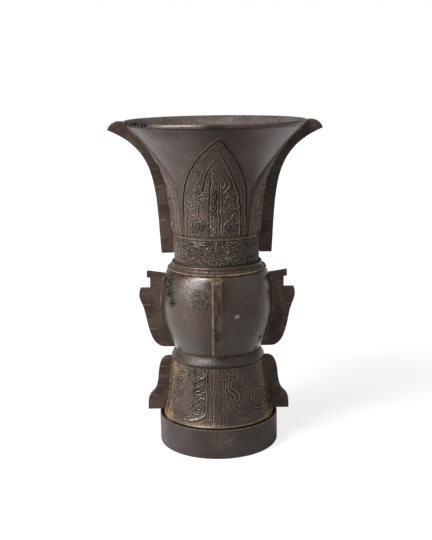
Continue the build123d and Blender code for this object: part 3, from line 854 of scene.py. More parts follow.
def skin(name, front, back, material, tones):
    """A closed skin: a fine front, a coarse back, and a rim of many-sided faces between them."""
    rows, columns = front.shape[:2]
    fine = np.arange(rows * columns).reshape(rows, columns)
    coarse = rows * columns + np.arange(back.shape[0] * back.shape[1]).reshape(back.shape[:2])

    def quads(grid):
        return np.stack([grid[:-1, :-1], grid[:-1, 1:], grid[1:, 1:], grid[1:, :-1]], -1).reshape(-1, 4)

    faces = quads(fine).tolist() + quads(coarse)[:, ::-1].tolist()
    for near_edge, far_edge in (
        (fine[0], coarse[0]),
        (fine[-1], coarse[-1]),
        (fine[:, 0], coarse[:, 0]),
        (fine[:, -1], coarse[:, -1]),
    ):
        for i in range(len(far_edge) - 1):
            run = near_edge[i * back_step:(i + 1) * back_step + 1]
            faces.append([*run.tolist(), int(far_edge[i + 1]), int(far_edge[i])])
    mesh = bpy.data.meshes.new(name)
    points = np.concatenate([front.reshape(-1, 3), back.reshape(-1, 3)])
    mesh.from_pydata((points * MM).tolist(), [], faces)
    mesh.materials.append(material)
    for label, values in tones.items():
        paint(mesh, label, np.concatenate([values.ravel(), np.zeros(coarse.size)]))
    finish_mesh(mesh, 55)
    return new_object(name, mesh)


def tones_of(height):
    """Painted shade where a point lies below its surroundings, and a paler tone where it lies above them,
    partly wear and partly painted highlight.
    """
    full_tone = 0.1
    lift = height - blurred(height, 8)
    return {"shade_and_stain": np.clip(-lift / full_tone, 0, 1), "rub_and_highlight": np.clip(lift / full_tone - 0.15, 0, 1)}


# Leaf blades on the trumpet

# A blade's half width, where its sides begin to curve, its height, the ramp round it, the rise of its field,
# and the pitch of its grid
leaf_half_width = 21.8
leaf_spring = 26.0
leaf_height = 70.0
leaf_ramp = 2.4
leaf_field = 0.6
leaf_pitch = 0.22
# Relief at the back of the vessel has a grid this much wider than relief in front
coarser = 1.25
arc_radius = (leaf_half_width ** 2 + (leaf_height - leaf_spring) ** 2) / (2 * leaf_half_width)
arc_centre = leaf_half_width - arc_radius
leaf_top = leaf_spring + math.sqrt((arc_radius + leaf_ramp) ** 2 - arc_centre ** 2) - 0.15


def leaf_width(height):
    """Half the width of a blade with its ramp, at a height over the neck band."""
    over = np.maximum(height - leaf_spring, 0)
    return arc_centre + np.sqrt((arc_radius + leaf_ramp) ** 2 - over ** 2)


def leaf_lines(drawn):
    """The drawn lines of a blade: a scrolled spine, a masked creature on each side, and an inner point."""
    for k in range(14):
        hand = 1 if k % 2 else -1
        drawn.ridge(scroll((-0.8, 2.4 + 3.3 * k), 1.7, 0.4, 1.2, 90, hand), 0.95, 0.85)
    drawn.ring((-1.8, 49.0), 1.3, 0.8, 0.5)
    drawn.ridges((
        ([(2.2, 1.2), (2.1, 40.0), (0.6, 55.0)], 0.85, 0.42),
        ([(4.6, 1.2), (4.4, 10.0), (3.6, 38.0), (1.4, 54.0)], 0.85, 0.42),
        ([(-2.9, 1.2), (-2.6, 45.0), (-1.2, 55.0)], 0.85, 0.42),
        ([(-5.4, 1.2), (-5.2, 30.0)], 0.85, 0.42),
    ))
    drawn.groove([(-4.1, 1.0), (-4.0, 10.0), (-3.5, 46.0)], 1.0, 0.4)
    drawn.groove([(3.4, 1.0), (2.9, 40.0)], 0.8, 0.3)

    # right side: the inner point's edge with a groove along it, then the creature
    drawn.groove([(3.4, 59.0), (7.2, 52.8), (11.9, 44.3), (16.0, 33.1), (17.8, 23.6), (18.1, 16.0),
                  (18.1, 2.5)], 1.3, 0.45)
    drawn.groove([(19.6, 16.5), (19.6, 2.5)], 1.0, 0.4)
    drawn.ridges((
        ([(1.2, 60.5), (5.8, 52.5), (10.5, 43.8), (14.6, 32.8), (16.4, 23.4), (16.8, 18.0),
          (16.8, 1.0)], 1.2, 0.5),
        ([(6.2, 21.3), (15.6, 20.7)], 1.0, 0.45),
        ([(6.2, 18.9), (11.4, 18.5)], 0.9, 0.4),
        ([(6.2, 25.3), (7.7, 28.2), (9.1, 31.2), (12.8, 27.8), (7.9, 25.9)], 1.2, 0.6),
    ))
    drawn.ridges((
        ([(16.0, 17.2), (12.6, 16.8), (12.0, 12.6), (14.6, 10.4), (15.9, 12.8), (14.2, 14.4)], 1.3, 0.65),
        ([(6.0, 33.0), (9.4, 37.4), (8.2, 42.4), (5.0, 46.2)], 1.1, 0.5),
        ([(5.2, 36.2), (6.8, 39.8), (4.8, 42.6)], 0.9, 0.4),
        ([(6.3, 2.4), (6.4, 9.6), (9.0, 12.6), (10.8, 13.4)], 1.0, 0.45),
    ), soft=True)
    for k in range(3):
        drawn.ridge([(9.4 - 1.5 * k, 46.6 + 3.0 * k), (13.6 - 1.5 * k, 42.0 + 3.0 * k)], 0.7, 0.3)

    # left side: the creature's curves, and two rows of short strokes
    drawn.groove(flow([(-2.2, 53.4), (-5.6, 46.4), (-7.8, 39.8), (-8.0, 34.1)]), 0.9, 0.3)
    drawn.groove([(-19.4, 14.5), (-19.4, 2.5)], 0.9, 0.28)
    drawn.ridge([(-16.6, 1.2), (-16.8, 18.0), (-15.6, 28.0), (-12.4, 40.0), (-7.0, 51.5)], 1.0, 0.38)
    drawn.ridges((
        ([(-0.9, 57.4), (-3.6, 53.4), (-7.2, 46.2), (-9.3, 39.8), (-9.5, 34.1)], 1.3, 0.55),
        ([(-14.6, 34.6), (-12.9, 33.2), (-11.4, 30.4), (-8.4, 31.6), (-6.4, 30.4)], 1.3, 0.62),
        ([(-15.4, 21.2), (-12.8, 21.8), (-11.8, 19.1), (-13.2, 15.4), (-15.6, 16.9)], 1.4, 0.65),
        ([(-6.4, 2.4), (-6.6, 9.6), (-9.6, 12.6), (-13.4, 11.2), (-14.6, 6.4), (-13.0, 2.6)], 1.1, 0.5),
    ), soft=True)
    for k in range(4):
        drawn.ridge([(-15.0 + 1.4 * k, 37.6 + 0.8 * k), (-12.6 + 1.4 * k, 43.2 + 0.8 * k)], 0.8, 0.45)
        drawn.ridge([(-12.4 + 0.2 * k, 28.6 - 1.75 * k), (-6.0, 26.4 - 1.75 * k)], 0.85, 0.42)
    for side in (-1, 1):
        drawn.eye((10.1 * side, 7.7), 1.9, 0.6)


def leaf_relief(a, h, seed):
    """Heights of one blade over the trumpet, and its sunk outline."""
    warp_a, warp_h = wandered(a, h, 0.7, 3.2, seed)
    side = np.abs(warp_a)
    depth_in = arc_radius - np.hypot(side - arc_centre, np.maximum(warp_h - leaf_spring, 0))
    drawn = Relief(warp_a, warp_h, bold=1.0, lift=1.4)
    leaf_lines(drawn)
    ground = 0.26 * thunder(warp_a + 0.9, warp_h, 1.6)
    grains = smooth(0.35, 0.8, noise(a + 90, h, 0.8, seed + 5))
    worn = 0.45 + 0.55 * smooth(0.28, 0.58, noise(a + 80, h, 8.0, seed + 2))
    field = np.maximum(drawn.rise * worn, ground) + 0.12 * grains - drawn.cut
    grit = 0.1 * (noise(a + 70, h, 1.9, seed + 4) - 0.5)
    inside = smooth(0.4, 1.0, depth_in)
    ramp = smooth(-leaf_ramp, -0.6, depth_in)
    outline = 1 - smooth(0.2, 0.65, np.abs(depth_in))
    height = leaf_field * ramp - 0.06 * (1 - ramp) + inside * (field + grit) - outline * (leaf_field - 0.02)
    return np.maximum(height, 0.02 * ramp - 0.08 * (1 - ramp)), outline, inside


def leaf(name, turned, low_side, high_side, lean, pitch, seed):
    """One blade, or the half of it on one side of a flange; turned is in degrees."""
    rows = point_count(leaf_top, pitch)
    columns = point_count((high_side - low_side) * leaf_half_width, pitch)
    h = np.linspace(0, leaf_top, rows)[:, None] * np.ones((1, columns))
    width = leaf_width(h)
    share = np.linspace(low_side, high_side, columns)[None, :]
    root = trumpet_flange_thickness / 2
    beside_root = np.maximum(width - root, 0.05)
    if low_side < 0 < high_side:
        a = share * width
    elif low_side < 0:
        a = -(root + np.flip(share + 1, 1) * beside_root)
    else:
        a = root + share * beside_root
    height, outline, inside = leaf_relief(a, h, seed)
    shift = -0.8 + 0.8 * smooth(20, 45, h) + lean * np.maximum((h - 41) / 29, 0) ** 2
    z = band_top + h
    base = radius_at(flare, z)

    def wrapped(lift, part):
        radius = (base + lift)[part]
        across = np.clip((a + shift)[part], -0.98 * radius, 0.98 * radius)
        y = -np.sqrt(radius ** 2 - across ** 2)
        c, s = math.cos(math.radians(turned)), math.sin(math.radians(turned))
        return np.stack([c * across - s * y, s * across + c * y, z[part]], -1)

    tones = tones_of(height)
    crease = 1 - smooth(0.9, 2.4, h)
    # the sunk outline and the crease above the band get painted shade, lighter on the side blades' outlines;
    # the right blade, on the side away from the lamps, is painted paler all over as painted light
    drawn_in = 1.0 if turned in (0, 180) else 0.4
    tones["shade_and_stain"] = np.clip(tones["shade_and_stain"] * inside + drawn_in * outline + crease, 0, 1)
    tones["rub_and_highlight"] = np.maximum(tones["rub_and_highlight"], 0.45 if turned == 90 else 0.0) * inside
    strip = 1 - smooth(3.0, 9.0, np.abs(a))
    gilt = 0.0 if turned in (0, 180) else 0.45
    tones["ochre"] = gilt * strip * (0.6 + 0.4 * tones["rub_and_highlight"])
    warm = noise(a + 50, h, 8.0, seed + 9)
    left_half = 1 - smooth(-1, 3, a)
    tones["russet"] = (0.35 + 0.55 * left_half) * smooth(0.3, 0.62, warm) * (1 - tones["shade_and_stain"])
    made = skin(name, wrapped(height, every_point), wrapped(-0.35, back_points), relief_bronze, tones)
    settle(made, "bronze_ornament")


def leaves():
    """A whole blade in front and behind, and one on each side that a flange parts in two."""
    leaf("leaf_front", 0, -1, 1, 2.6, leaf_pitch, 21)
    leaf("leaf_back", 180, -1, 1, 0.0, leaf_pitch * coarser, 31)
    leaf("leaf_right_front", 90, -1, 0, 0.0, leaf_pitch, 41)
    leaf("leaf_right_back", 90, 0, 1, 0.0, leaf_pitch * coarser, 51)
    leaf("leaf_left_front", 270, 0, 1, 0.0, leaf_pitch, 61)
    leaf("leaf_left_back", 270, -1, 0, 0.0, leaf_pitch * coarser, 71)


# Neck band and foot: relief on a turned shell, made in two halves that part under the side flanges

def half_shell(name, turned, outline, bore, pitch, relief, nodes, ochre, crease):
    """Half of a turned shell, from one side flange round the front to the other."""
    low, high = outline[0, 1], outline[-1, 1]
    middle = radius_at(outline, (low + high) / 2)
    rows = point_count(high - low, pitch)
    columns = point_count(math.pi * middle, pitch)
    angle = np.linspace(-math.pi / 2, math.pi / 2, columns)[None, :] * np.ones((rows, 1))
    z = np.linspace(low, high, rows)[:, None] * np.ones((1, columns))
    height, polish = relief(angle * middle, z - low)

    def wrapped(radius, part):
        around = angle[part] + math.radians(turned)
        return np.stack([radius * np.sin(around), -radius * np.cos(around), z[part]], -1)

    tones = tones_of(height)
    tones["rub_and_highlight"] = np.maximum(tones["rub_and_highlight"], polish)
    tones["ochre"] = ochre(angle, z) * (0.35 + 0.65 * (1 - tones["shade_and_stain"]))
    # earth dulls the paler raised lines that it lies on
    tones["rub_and_highlight"] = tones["rub_and_highlight"] * (1 - 0.75 * tones["ochre"])
    tones["russet"] = smooth(0.98, 1.15, angle)
    # painted shade along the shell's creases, added to the shade in its hollows
    tones["shade_and_stain"] = np.clip(tones["shade_and_stain"] + crease(z), 0, 1)
    front = wrapped(radius_at(outline, z) + height, every_point)
    made = skin(name, front, wrapped(bore(z[back_points]), back_points), relief_bronze, tones)
    settle(made, "bronze_ornament", *nodes)


def band_relief(seed):
    """Heights of the neck band: a fillet above and below, and profile dragons on a ground of spirals."""
    def heights(a, h):
        warp_a, warp_h = wandered(a, h, 0.8, 2.6, seed)
        drawn = Relief(np.abs(warp_a), warp_h, bold=1.0, lift=1.4)
        for k in range(17):
            drawn.ridge([(2.0 + 1.25 * k, 1.6), (2.0 + 1.25 * k, 7.6 if k < 8 else 4.6)], 0.8, 0.42)
        drawn.eye((18.6, 10.4), 1.9, 0.6)
        drawn.ridges((
            ([(0, 1.0), (0, 18.6)], 1.3, 0.5),
            ([(8.4, 15.8), (16.6, 16.8)], 0.9, 0.42),
            ([(8.4, 17.6), (22.0, 17.8)], 0.8, 0.38),
            (scroll((6.4, 12.2), 2.9, 0.6, 1.6, 250), 1.0, 0.48),
            (scroll((29.6, 9.8), 4.2, 0.8, 1.8, 170), 1.1, 0.5),
            (scroll((39.6, 10.2), 4.4, 0.8, 1.8, 10, -1), 1.1, 0.5),
        ))
        drawn.ridges((
            ([(11.6, 13.6), (15.8, 15.2), (21.0, 13.8), (23.6, 9.6), (21.4, 5.6), (16.4, 6.2)], 1.2, 0.5),
            ([(25.0, 15.6), (33.0, 16.8), (44.0, 15.8)], 1.0, 0.45),
            ([(25.0, 3.4), (34.0, 2.8), (45.0, 4.0)], 1.0, 0.45),
        ), soft=True)
        for da, dh in ((1.0, 0), (-1.0, 0), (0, 1.0), (0, -1.0)):
            drawn.dot((13.4 + da, 4.2 + dh), 0.7, 0.55)
        grains = smooth(0.35, 0.8, noise(a + 90, h, 0.8, seed + 5))
        ground = 0.42 * thunder(warp_a, warp_h - 0.6, 1.5)
        within = smooth(0.8, 1.6, h) * (1 - smooth(18.0, 18.8, h))
        worn = 0.4 + 0.5 * smooth(0.3, 0.6, noise(a + 80, h, 7.0, seed + 2))
        field = (np.maximum(drawn.rise * worn, ground) + 0.24 * grains) * within - 0.5
        fillet = 0.5 * smooth(18.8, 19.4, h) + 0.25 * (1 - smooth(0.5, 0.9, h))
        at_flange = smooth(44.5, 46.5, np.abs(a))
        return (field + fillet) * (1 - at_flange), drawn.polish
    return heights


def foot_lines(drawn):
    """The mask of the foot, left and right of its middle strip; heights are over the foot's seat."""
    # left half: a frame that ends in a polished bar, horns, a snout of nested curves, and a faint eye;
    # the bar and a horn's hook are polished and painted paler as a painted highlight
    bar = flow([(-10.4, 11.0), (-12.4, 9.6), (-16.0, 8.4), (-21.6, 7.3)])
    drawn.ridge(bar, 3.4, 1.2)
    drawn.shine(bar, 5.0)
    drawn.shine(flow([(-11.0, 42.4), (-10.2, 40.4), (-12.4, 38.8), (-15.0, 39.6)]), 3.2)
    drawn.groove([(-6.8, 44.6), (-6.8, 9.0)], 1.0, 0.24)
    drawn.ridges((
        ([(-8.8, 44.9), (-8.9, 35.2), (-8.9, 24.7), (-8.8, 16.4), (-9.3, 13.1), (-11.0, 10.4),
          (-15.0, 8.6), (-20.3, 7.3), (-24.6, 6.9), (-24.8, 8.6), (-21.9, 9.6)], 1.6, 0.7),
        ([(-11.8, 43.4), (-9.8, 41.2), (-11.1, 39.0), (-13.7, 38.7), (-15.5, 40.2), (-15.8, 38.2),
          (-14.6, 37.2)], 1.9, 0.95),
        ([(-18.0, 44.5), (-19.7, 42.2), (-18.8, 40.0)], 1.6, 0.85),
        ([(-13.9, 37.3), (-17.1, 35.5), (-19.4, 34.1), (-18.7, 32.0)], 1.5, 0.8),
        ([(-11.6, 34.0), (-14.7, 32.1), (-17.9, 30.6), (-20.0, 27.7), (-19.4, 25.4)], 1.4, 0.7),
        ([(-11.4, 31.6), (-13.7, 29.3), (-16.1, 28.9), (-17.7, 27.4), (-16.0, 26.0), (-12.6, 26.4),
          (-10.4, 28.6)], 1.4, 0.75),
        ([(-10.4, 23.6), (-12.9, 24.2), (-14.5, 22.6), (-17.0, 20.6), (-19.9, 18.7),
          (-20.8, 16.0)], 1.5, 0.75),
        ([(-15.3, 17.4), (-14.8, 15.6), (-13.4, 15.5), (-12.7, 17.0)], 1.0, 0.55),
        ([(-17.4, 17.6), (-16.6, 14.3), (-13.8, 13.5), (-11.3, 15.2), (-11.2, 18.6)], 1.1, 0.6),
        ([(-19.2, 15.6), (-17.3, 12.5), (-13.8, 11.8), (-10.6, 13.4)], 1.1, 0.65),
        ([(-32.9, 41.2), (-29.5, 42.8), (-28.2, 41.7), (-31.0, 40.0), (-34.7, 39.4)], 1.3, 0.65),
        ([(-37.2, 33.9), (-34.3, 35.8), (-31.5, 35.4), (-34.0, 33.1)], 1.3, 0.6),
        ([(-24.6, 43.6), (-23.0, 41.0), (-25.2, 38.6), (-23.4, 36.4)], 1.2, 0.5),
    ), soft=True)
    for across, up in ((5.0, 3.4), (2.4, 1.7)):
        drawn.oval((-34.3, 26.8), across, up, 1.1, 0.3)

    # right half: a worn frame, an S-shaped horn, small curls, and a large oval eye
    drawn.ridges((
        ([(5.4, 44.4), (5.6, 30.0), (5.8, 15.0), (8.0, 10.6), (14.0, 8.6), (21.0, 7.6)], 1.2, 0.34),
        ([(15.4, 42.6), (15.7, 38.9), (13.3, 37.1), (10.6, 35.9), (9.4, 33.4), (10.4, 30.7),
          (13.0, 29.3), (15.4, 26.9), (15.8, 23.6), (14.0, 21.0)], 1.7, 0.85),
        ([(8.2, 39.0), (7.4, 34.1), (7.4, 30.9), (8.9, 28.2), (11.4, 26.3), (12.8, 24.1),
          (10.8, 22.6), (8.2, 24.4)], 1.5, 0.75),
        ([(7.0, 44.0), (8.2, 41.5), (10.6, 41.1), (12.0, 43.4)], 1.4, 0.7),
        ([(18.6, 41.6), (20.4, 38.2), (18.8, 34.6), (20.6, 31.2)], 1.2, 0.45),
        ([(5.8, 18.2), (8.2, 16.6), (8.0, 13.2), (5.8, 12.6)], 1.1, 0.4),
        ([(14.4, 17.6), (17.6, 17.4), (18.2, 14.2), (15.6, 13.4), (14.8, 15.4)], 1.1, 0.4),
        ([(27.0, 42.0), (31.6, 42.2), (33.4, 39.6), (30.6, 38.0)], 1.2, 0.45),
    ), soft=True)
    for across, up, height in ((7.4, 8.6, 0.95), (5.0, 6.2, 0.9)):
        drawn.oval((33.6, 21.2), across, up, 1.4, height, ends=(48, 318))
    drawn.dot((34.4, 21.2), 2.6, 0.4)


def foot_relief(seed):
    """Heights of the foot: a low middle rib, the mask, and a fine squared ground above a plain lip."""
    def heights(a, h):
        warp_a, warp_h = wandered(a, h, 0.8, 3.2, seed)
        drawn = Relief(warp_a, warp_h, bold=0.95, lift=1.35)
        foot_lines(drawn)
        grains = smooth(0.35, 0.75, noise(a + 90, h, 0.8, seed + 5))
        squares = 0.5 + 0.5 * np.sin(warp_a * 2 * math.pi / 1.7)
        squares = squares * (0.5 + 0.5 * np.sin(warp_h * 2 * math.pi / 1.7))
        strip = np.abs(warp_a + 1.3)
        inner = 1 - smooth(4.6, 5.4, strip)
        dots = 0.5 + 0.5 * np.cos(warp_a * 2 * math.pi / 1.6)
        dots = dots * (0.6 + 0.4 * np.sin(warp_h * 2 * math.pi / 2.2))
        ground = 0.06 * (1 - inner) * squares + inner * 0.18 * dots
        worn = 0.6 + 0.4 * smooth(0.28, 0.6, noise(a + 80, h, 10.0, seed + 2))
        # the right half is worn lower, and its horn lower than its eye
        worn = worn * (1 - smooth(3, 7, a) * (0.35 + 0.2 * (1 - smooth(20, 26, a))))
        rib = 0.3 * rib_rise * (1 - smooth(rib_width / 2 - 0.4, rib_width / 2 + 0.3, strip))
        ragged = np.abs(a) + 9 * (noise(a + 90, h, 5.0, seed + 8) - 0.5)
        margin = smooth(36, 44, ragged) * (1 - 0.8 * smooth(43, 51, np.abs(a)))
        rough_edge = 0.6 * margin * smooth(0.4, 0.7, noise(a + 90, h, 1.5, seed + 6))
        above_lip = smooth(foot_lip_height + 0.4, foot_lip_height + 1.8, h)
        at_flange = smooth(51.5, 53.5, np.abs(a))
        field = np.maximum(drawn.rise * worn, ground) + 0.1 * grains + rough_edge - drawn.cut + rib - 0.4
        return field * above_lip * (1 - at_flange), drawn.polish
    return heights


def ornament_bands():
    """The neck band and the foot."""
    band_outline = np.array([(band_foot_radius, band_base), (band_top_radius, band_top)])

    def band_ochre(angle, z):
        return 0.35 * smooth(band_top - 1.6, band_top - 1.0, z) + 0.3 * smooth(1.0, 1.45, np.abs(angle))

    def foot_ochre(angle, z):
        patches = noise(angle * foot_lip_radius + 100, z, 6.0, 77)
        sides = smooth(0.96, 1.2, np.abs(angle) + 0.3 * (patches - 0.5))
        sides = sides * (0.5 + 0.5 * patches) * (1 - 0.75 * smooth(1.2, 1.36, np.abs(angle)))
        spread = foot_seat + 6.6 - 1.8 * smooth(-0.1, 0.4, angle) + 3.0 * smooth(0.7, 1.2, np.abs(angle))
        lip = smooth(foot_seat + 3.6, foot_seat + 4.0, z) * (1 - smooth(foot_seat + 4.2, spread, z))
        # the curls at the upper left, 33 mm round from the middle and 40 mm over the seat
        middle_radius = 38
        curls = 1 - smooth(4, 9, np.hypot(angle * middle_radius + 33, z - foot_seat - 40))
        return np.clip(sides * (1 - 0.45 * (angle > 0)) + 0.4 * lip + 0.4 * curls + 0.03, 0, 1)

    foot_middle_bore = 33.2

    def foot_bore(z):
        return np.interp(z, [foot_seat, foot_seat + 12, foot_top - 5, foot_top],
                         [foot_lip_bore, foot_middle_bore, foot_top_bore, foot_top_bore])

    # painted shade along the band's foot under the neck ring, over the foot's lip and along its top under the
    # waist ring
    def band_crease(z):
        return 0.9 * (1 - smooth(band_base + 0.2, band_base + 1.0, z))

    def foot_crease(z):
        return 1 - smooth(foot_seat + 3.3, foot_seat + 3.8, z) + smooth(foot_top - 1.0, foot_top - 0.3, z)

    def band_bore(z):
        return np.full(z.shape, neck_bore)

    lip = np.array([(foot_lip_radius, foot_seat), (foot_lip_radius, foot_seat + 1.8)])
    whole_foot = np.vstack([lip, foot_outline])
    for turned, name, wider, seed in ((0, "front", 1, 101), (180, "back", coarser, 131)):
        band_node, foot_node = (["neck_band"], ["foot"]) if turned == 0 else ([], [])
        half_shell("neck_band_" + name, turned, band_outline, band_bore, 0.2 * wider,
                   band_relief(seed), band_node, band_ochre, band_crease)
        half_shell("foot_" + name, turned, whole_foot, foot_bore, 0.25 * wider,
                   foot_relief(seed + 7), foot_node, foot_ochre, foot_crease)


# Flanges: the CAD plates, remeshed finely and worn round at their edges

def neighbours_mean(places, edges):
    """For each vertex, the mean of the vertices that an edge joins to it."""
    total = np.zeros_like(places)
    count = np.zeros(len(places))
    for a, b in ((0, 1), (1, 0)):
        np.add.at(total, edges[:, a], places[edges[:, b]])
        np.add.at(count, edges[:, a], 1)
    return total / np.maximum(count, 1)[:, None]


# Wear: how often and how far a vertex moves to the middle of its neighbours, and the move that shows fully,
# as a bare edge where the surface sinks and as painted shade where it rises in a hollow
wear_rounds = 5
wear_pull = 0.6
full_wear = 0.1


def worn_plate(node_name, voxel, thickness_axis, half_thickness, seed):
    """A CAD plate as a softly worn casting, with its nicks, bare edges and pits."""
    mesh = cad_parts[node_name].data.copy()
    mesh.materials.clear()
    work = bmesh.new()
    work.from_mesh(mesh)
    bmesh.ops.remove_doubles(work, verts=work.verts, dist=0.005 * MM)
    work.to_mesh(mesh)
    work.free()
    rough = new_object(node_name + "_rough", mesh)
    remesh = rough.modifiers.new("fine_grid", "REMESH")
    remesh.mode = "VOXEL"
    remesh.voxel_size = voxel * MM
    fine = baked(rough)
    bpy.data.objects.remove(rough)
    edges = np.empty(len(fine.edges) * 2, np.int32)
    fine.edges.foreach_get("vertices", edges)
    edges = edges.reshape(-1, 2)
    start = coordinates(fine)
    places = start.copy()
    for _ in range(wear_rounds):
        places += wear_pull * (neighbours_mean(places, edges) - places)
    move_vertices(fine, places)
    normals = np.empty(len(fine.vertices) * 3, np.float32)
    fine.vertices.foreach_get("normal", normals)
    normals = normals.reshape(-1, 3)
    sunk = np.einsum("ij,ij->i", places - start, normals)
    face = np.abs(start[:, thickness_axis])
    nick = (face < half_thickness - 0.12) * (face > half_thickness - 0.6)
    nick = nick * (np.abs(normals[:, thickness_axis]) > 0.75)
    across = start[:, 0] + start[:, 1]
    lumps = noise(across + 200, start[:, 2], 5.0, seed) - 0.5
    pits = smooth(0.7, 0.95, noise(across * 1.3 + 200, start[:, 2], 1.1, seed + 1))
    places = places + normals * (0.16 * lumps - 0.1 * pits - 0.06)[:, None]
    move_vertices(fine, places)
    fine.materials.append(flange_bronze)
    gold = 1.0 * nick
    # dark pits, and painted shade in the hollows that the smoothing lifts
    dark = 0.35 * pits + sunk / full_wear
    if thickness_axis == 0:
        # the bars' edges and upper ends are worn to gold, and their faces are blotched
        broken = smooth(0.3, 0.55, noise(start[:, 0] + 200, start[:, 2], 3.0, seed + 2))
        edge = smooth(half_thickness - 0.9, half_thickness - 0.35, face)
        end = smooth(start[:, 2].max() - 2.2, start[:, 2].max() - 1.4, start[:, 2])
        gold = np.maximum(edge * broken, 0.8 * end)
        blotched = smooth(0.45, 0.7, noise(start[:, 0] + 90, start[:, 2], 2.4, seed + 3))
        dark = dark + 0.6 * blotched * (1 - gold)
    paint(fine, "rub_and_highlight", np.clip(-sunk / full_wear - 0.1, 0, 1))
    paint(fine, "shade_and_stain", np.clip(dark, 0, 1))
    paint(fine, "ochre", np.clip(gold, 0, 1))
    finish_mesh(fine, 75)
    piece = new_object(node_name + "_worn", fine)
    settle(piece, "bronze_flange", node_name)


def flanges():
    """The six side flanges and the two bars."""
    for side in ("left", "right"):
        worn_plate("trumpet_flange_" + side, 0.27, 1, trumpet_flange_thickness / 2, 201)
        worn_plate("bulb_flange_" + side, 0.25, 1, bulb_flange_thickness / 2, 211)
        worn_plate("foot_flange_" + side, 0.23, 1, foot_flange_thickness / 2, 221)
    for side in ("front", "back"):
        worn_plate("bulb_bar_" + side, 0.23, 0, bar_width / 2, 231)


def root_lines(outline, low, high, half, at_sides=True):
    """Lines in the angles between a wall and two plates, at the sides or else in front and behind."""
    z = np.linspace(low, high, 60)
    radius = radius_at(outline, z) + 0.1
    lines = []
    for side in (-1, 1):
        for face in (-1, 1):
            aside = np.full_like(z, face * (half + 0.05))
            out = side * np.sqrt(radius ** 2 - aside ** 2)
            lines.append(np.column_stack([out, aside, z] if at_sides else [aside, out, z]))
    return lines


def deposit(name, paths, bead_radius_mm, thinnest, seed, dull=None):
    """One piece of uneven ochre bead along some paths; dull says how dark it is at each place."""
    mesh = bpy.data.meshes.new(name + "_paths")
    points, edges = [], []
    for path in paths:
        first = len(points)
        points += (path * MM).tolist()
        edges += [(first + i, first + i + 1) for i in range(len(path) - 1)]
    mesh.from_pydata(points, edges, [])
    made = run_tree(name, mesh, joint_bead, {
        "Bead Radius": bead_radius_mm * MM, "Step": 0.5 * MM, "Lump Size": 4.0 * MM, "Thinnest": thinnest,
        "Seed": float(seed), "Material": joint_deposit})
    finish_mesh(made.data, 60)
    if dull:
        paint(made.data, "shade_and_stain", dull(coordinates(made.data)))
    settle(made, "bronze_ornament")


def joint_deposits():
    """Ochre beads in the angles between the flanges, the bars and the walls, and under the neck ring."""
    flange_roots = [
        *root_lines(flare, band_top + 1, lip_root - 2.5, trumpet_flange_thickness / 2),
        *root_lines(bulb_outline, bulb_base + 0.5, bulb_top - 5.4, bulb_flange_thickness / 2),
        *root_lines(foot_outline, plinth_top + 2.0, foot_top - 0.8, foot_flange_thickness / 2),
    ]
    bar_roots = root_lines(bulb_outline, bulb_base + 1.0, bulb_top - 3.0, bar_width / 2, at_sides=False)

    def dull_left(places):
        """On the left of the bulb the gold is gone below the belly."""
        x, y, z = places.T
        return 0.75 * (x < 0) * (z > bulb_base) * (1 - smooth(belly - 6, belly + 2, z))

    around = np.linspace(0, 2 * math.pi, 181)
    skirt = skirt_radius + 0.1
    under_skirt = np.column_stack([
        skirt * np.sin(around), -skirt * np.cos(around), np.full(len(around), bulb_top + 0.45)])
    deposit("flange_deposits", flange_roots, 0.46, 0.2, 5, dull_left)
    deposit("bar_deposits", bar_roots, 0.6, 0.35, 6)
    deposit("skirt_deposit", [under_skirt], 0.6, 0.75, 8)


# Stage: floor, light and camera

image_width, image_height = 432, 540
focal_pixels = 929.5
camera_pitch = 12.118
camera_roll = 0.75
camera_distance = 684.9
aim_height = 130.2
axis_pixel = 216.8
room_light = 0.12


def add_camera():
    """The photograph's camera: a little above the vessel, looking slightly down."""
    data = bpy.data.cameras.new("camera")
    data.sensor_width = 36
    data.lens = focal_pixels / image_height * data.sensor_width
    camera = new_object("camera", data)
    pitch = math.radians(camera_pitch)
    aside = (image_width / 2 - axis_pixel) / focal_pixels * camera_distance
    spot = Vector((aside, -camera_distance * math.cos(pitch), aim_height + camera_distance * math.sin(pitch)))
    tilt = Matrix.Rotation(math.pi / 2 - pitch, 4, "X")
    roll = Matrix.Rotation(math.radians(-camera_roll), 4, "Z")
    camera.matrix_world = Matrix.Translation(spot * MM) @ tilt @ roll
    bpy.context.scene.camera = camera


def add_lamp(name, azimuth, elevation, distance, size, power):
    """A square soft light that faces the vessel; the azimuth is from the front, to the right."""
    data = bpy.data.lights.new(name, "AREA")
    data.shape = "SQUARE"
    data.size = size
    data.energy = power
    lamp = new_object(name, data)
    a, e = math.radians(azimuth), math.radians(elevation)
    away = Vector((math.sin(a) * math.cos(e), -math.cos(a) * math.cos(e), math.sin(e)))
    lamp.location = Vector((0, 0, aim_height * MM)) + away * distance
    lamp.rotation_euler = away.to_track_quat("Z", "Y").to_euler()


# The room that the metal mirrors is dim at the front right, away from the lamps
dim_side = (0.57, -0.82, 0.0)


def seen_directly(tree, place, lit, dim):
    """The share of the white that a ray meets: all from the camera, none as light, lit to dim in a mirror."""
    path = node(tree, "ShaderNodeLightPath").outputs
    mirror = node(tree, "ShaderNodeMath", {
        0: path["Is Glossy Ray"], 1: path["Is Transmission Ray"]}, operation="MAXIMUM")
    away = node(tree, "ShaderNodeVectorMath", {0: place}, operation="NORMALIZE")
    toward = node(tree, "ShaderNodeVectorMath", {0: away, 1: dim_side}, operation="DOT_PRODUCT")
    room_side = node(tree, "ShaderNodeMapRange", {
        0: toward.outputs["Value"], 1: 0.0, 2: 0.55, 3: lit, 4: dim})
    mirrored = node(tree, "ShaderNodeMath", {0: mirror, 1: room_side}, operation="MULTIPLY")
    return node(tree, "ShaderNodeMath", {0: path["Is Camera Ray"], 1: mirrored}, operation="MAXIMUM")


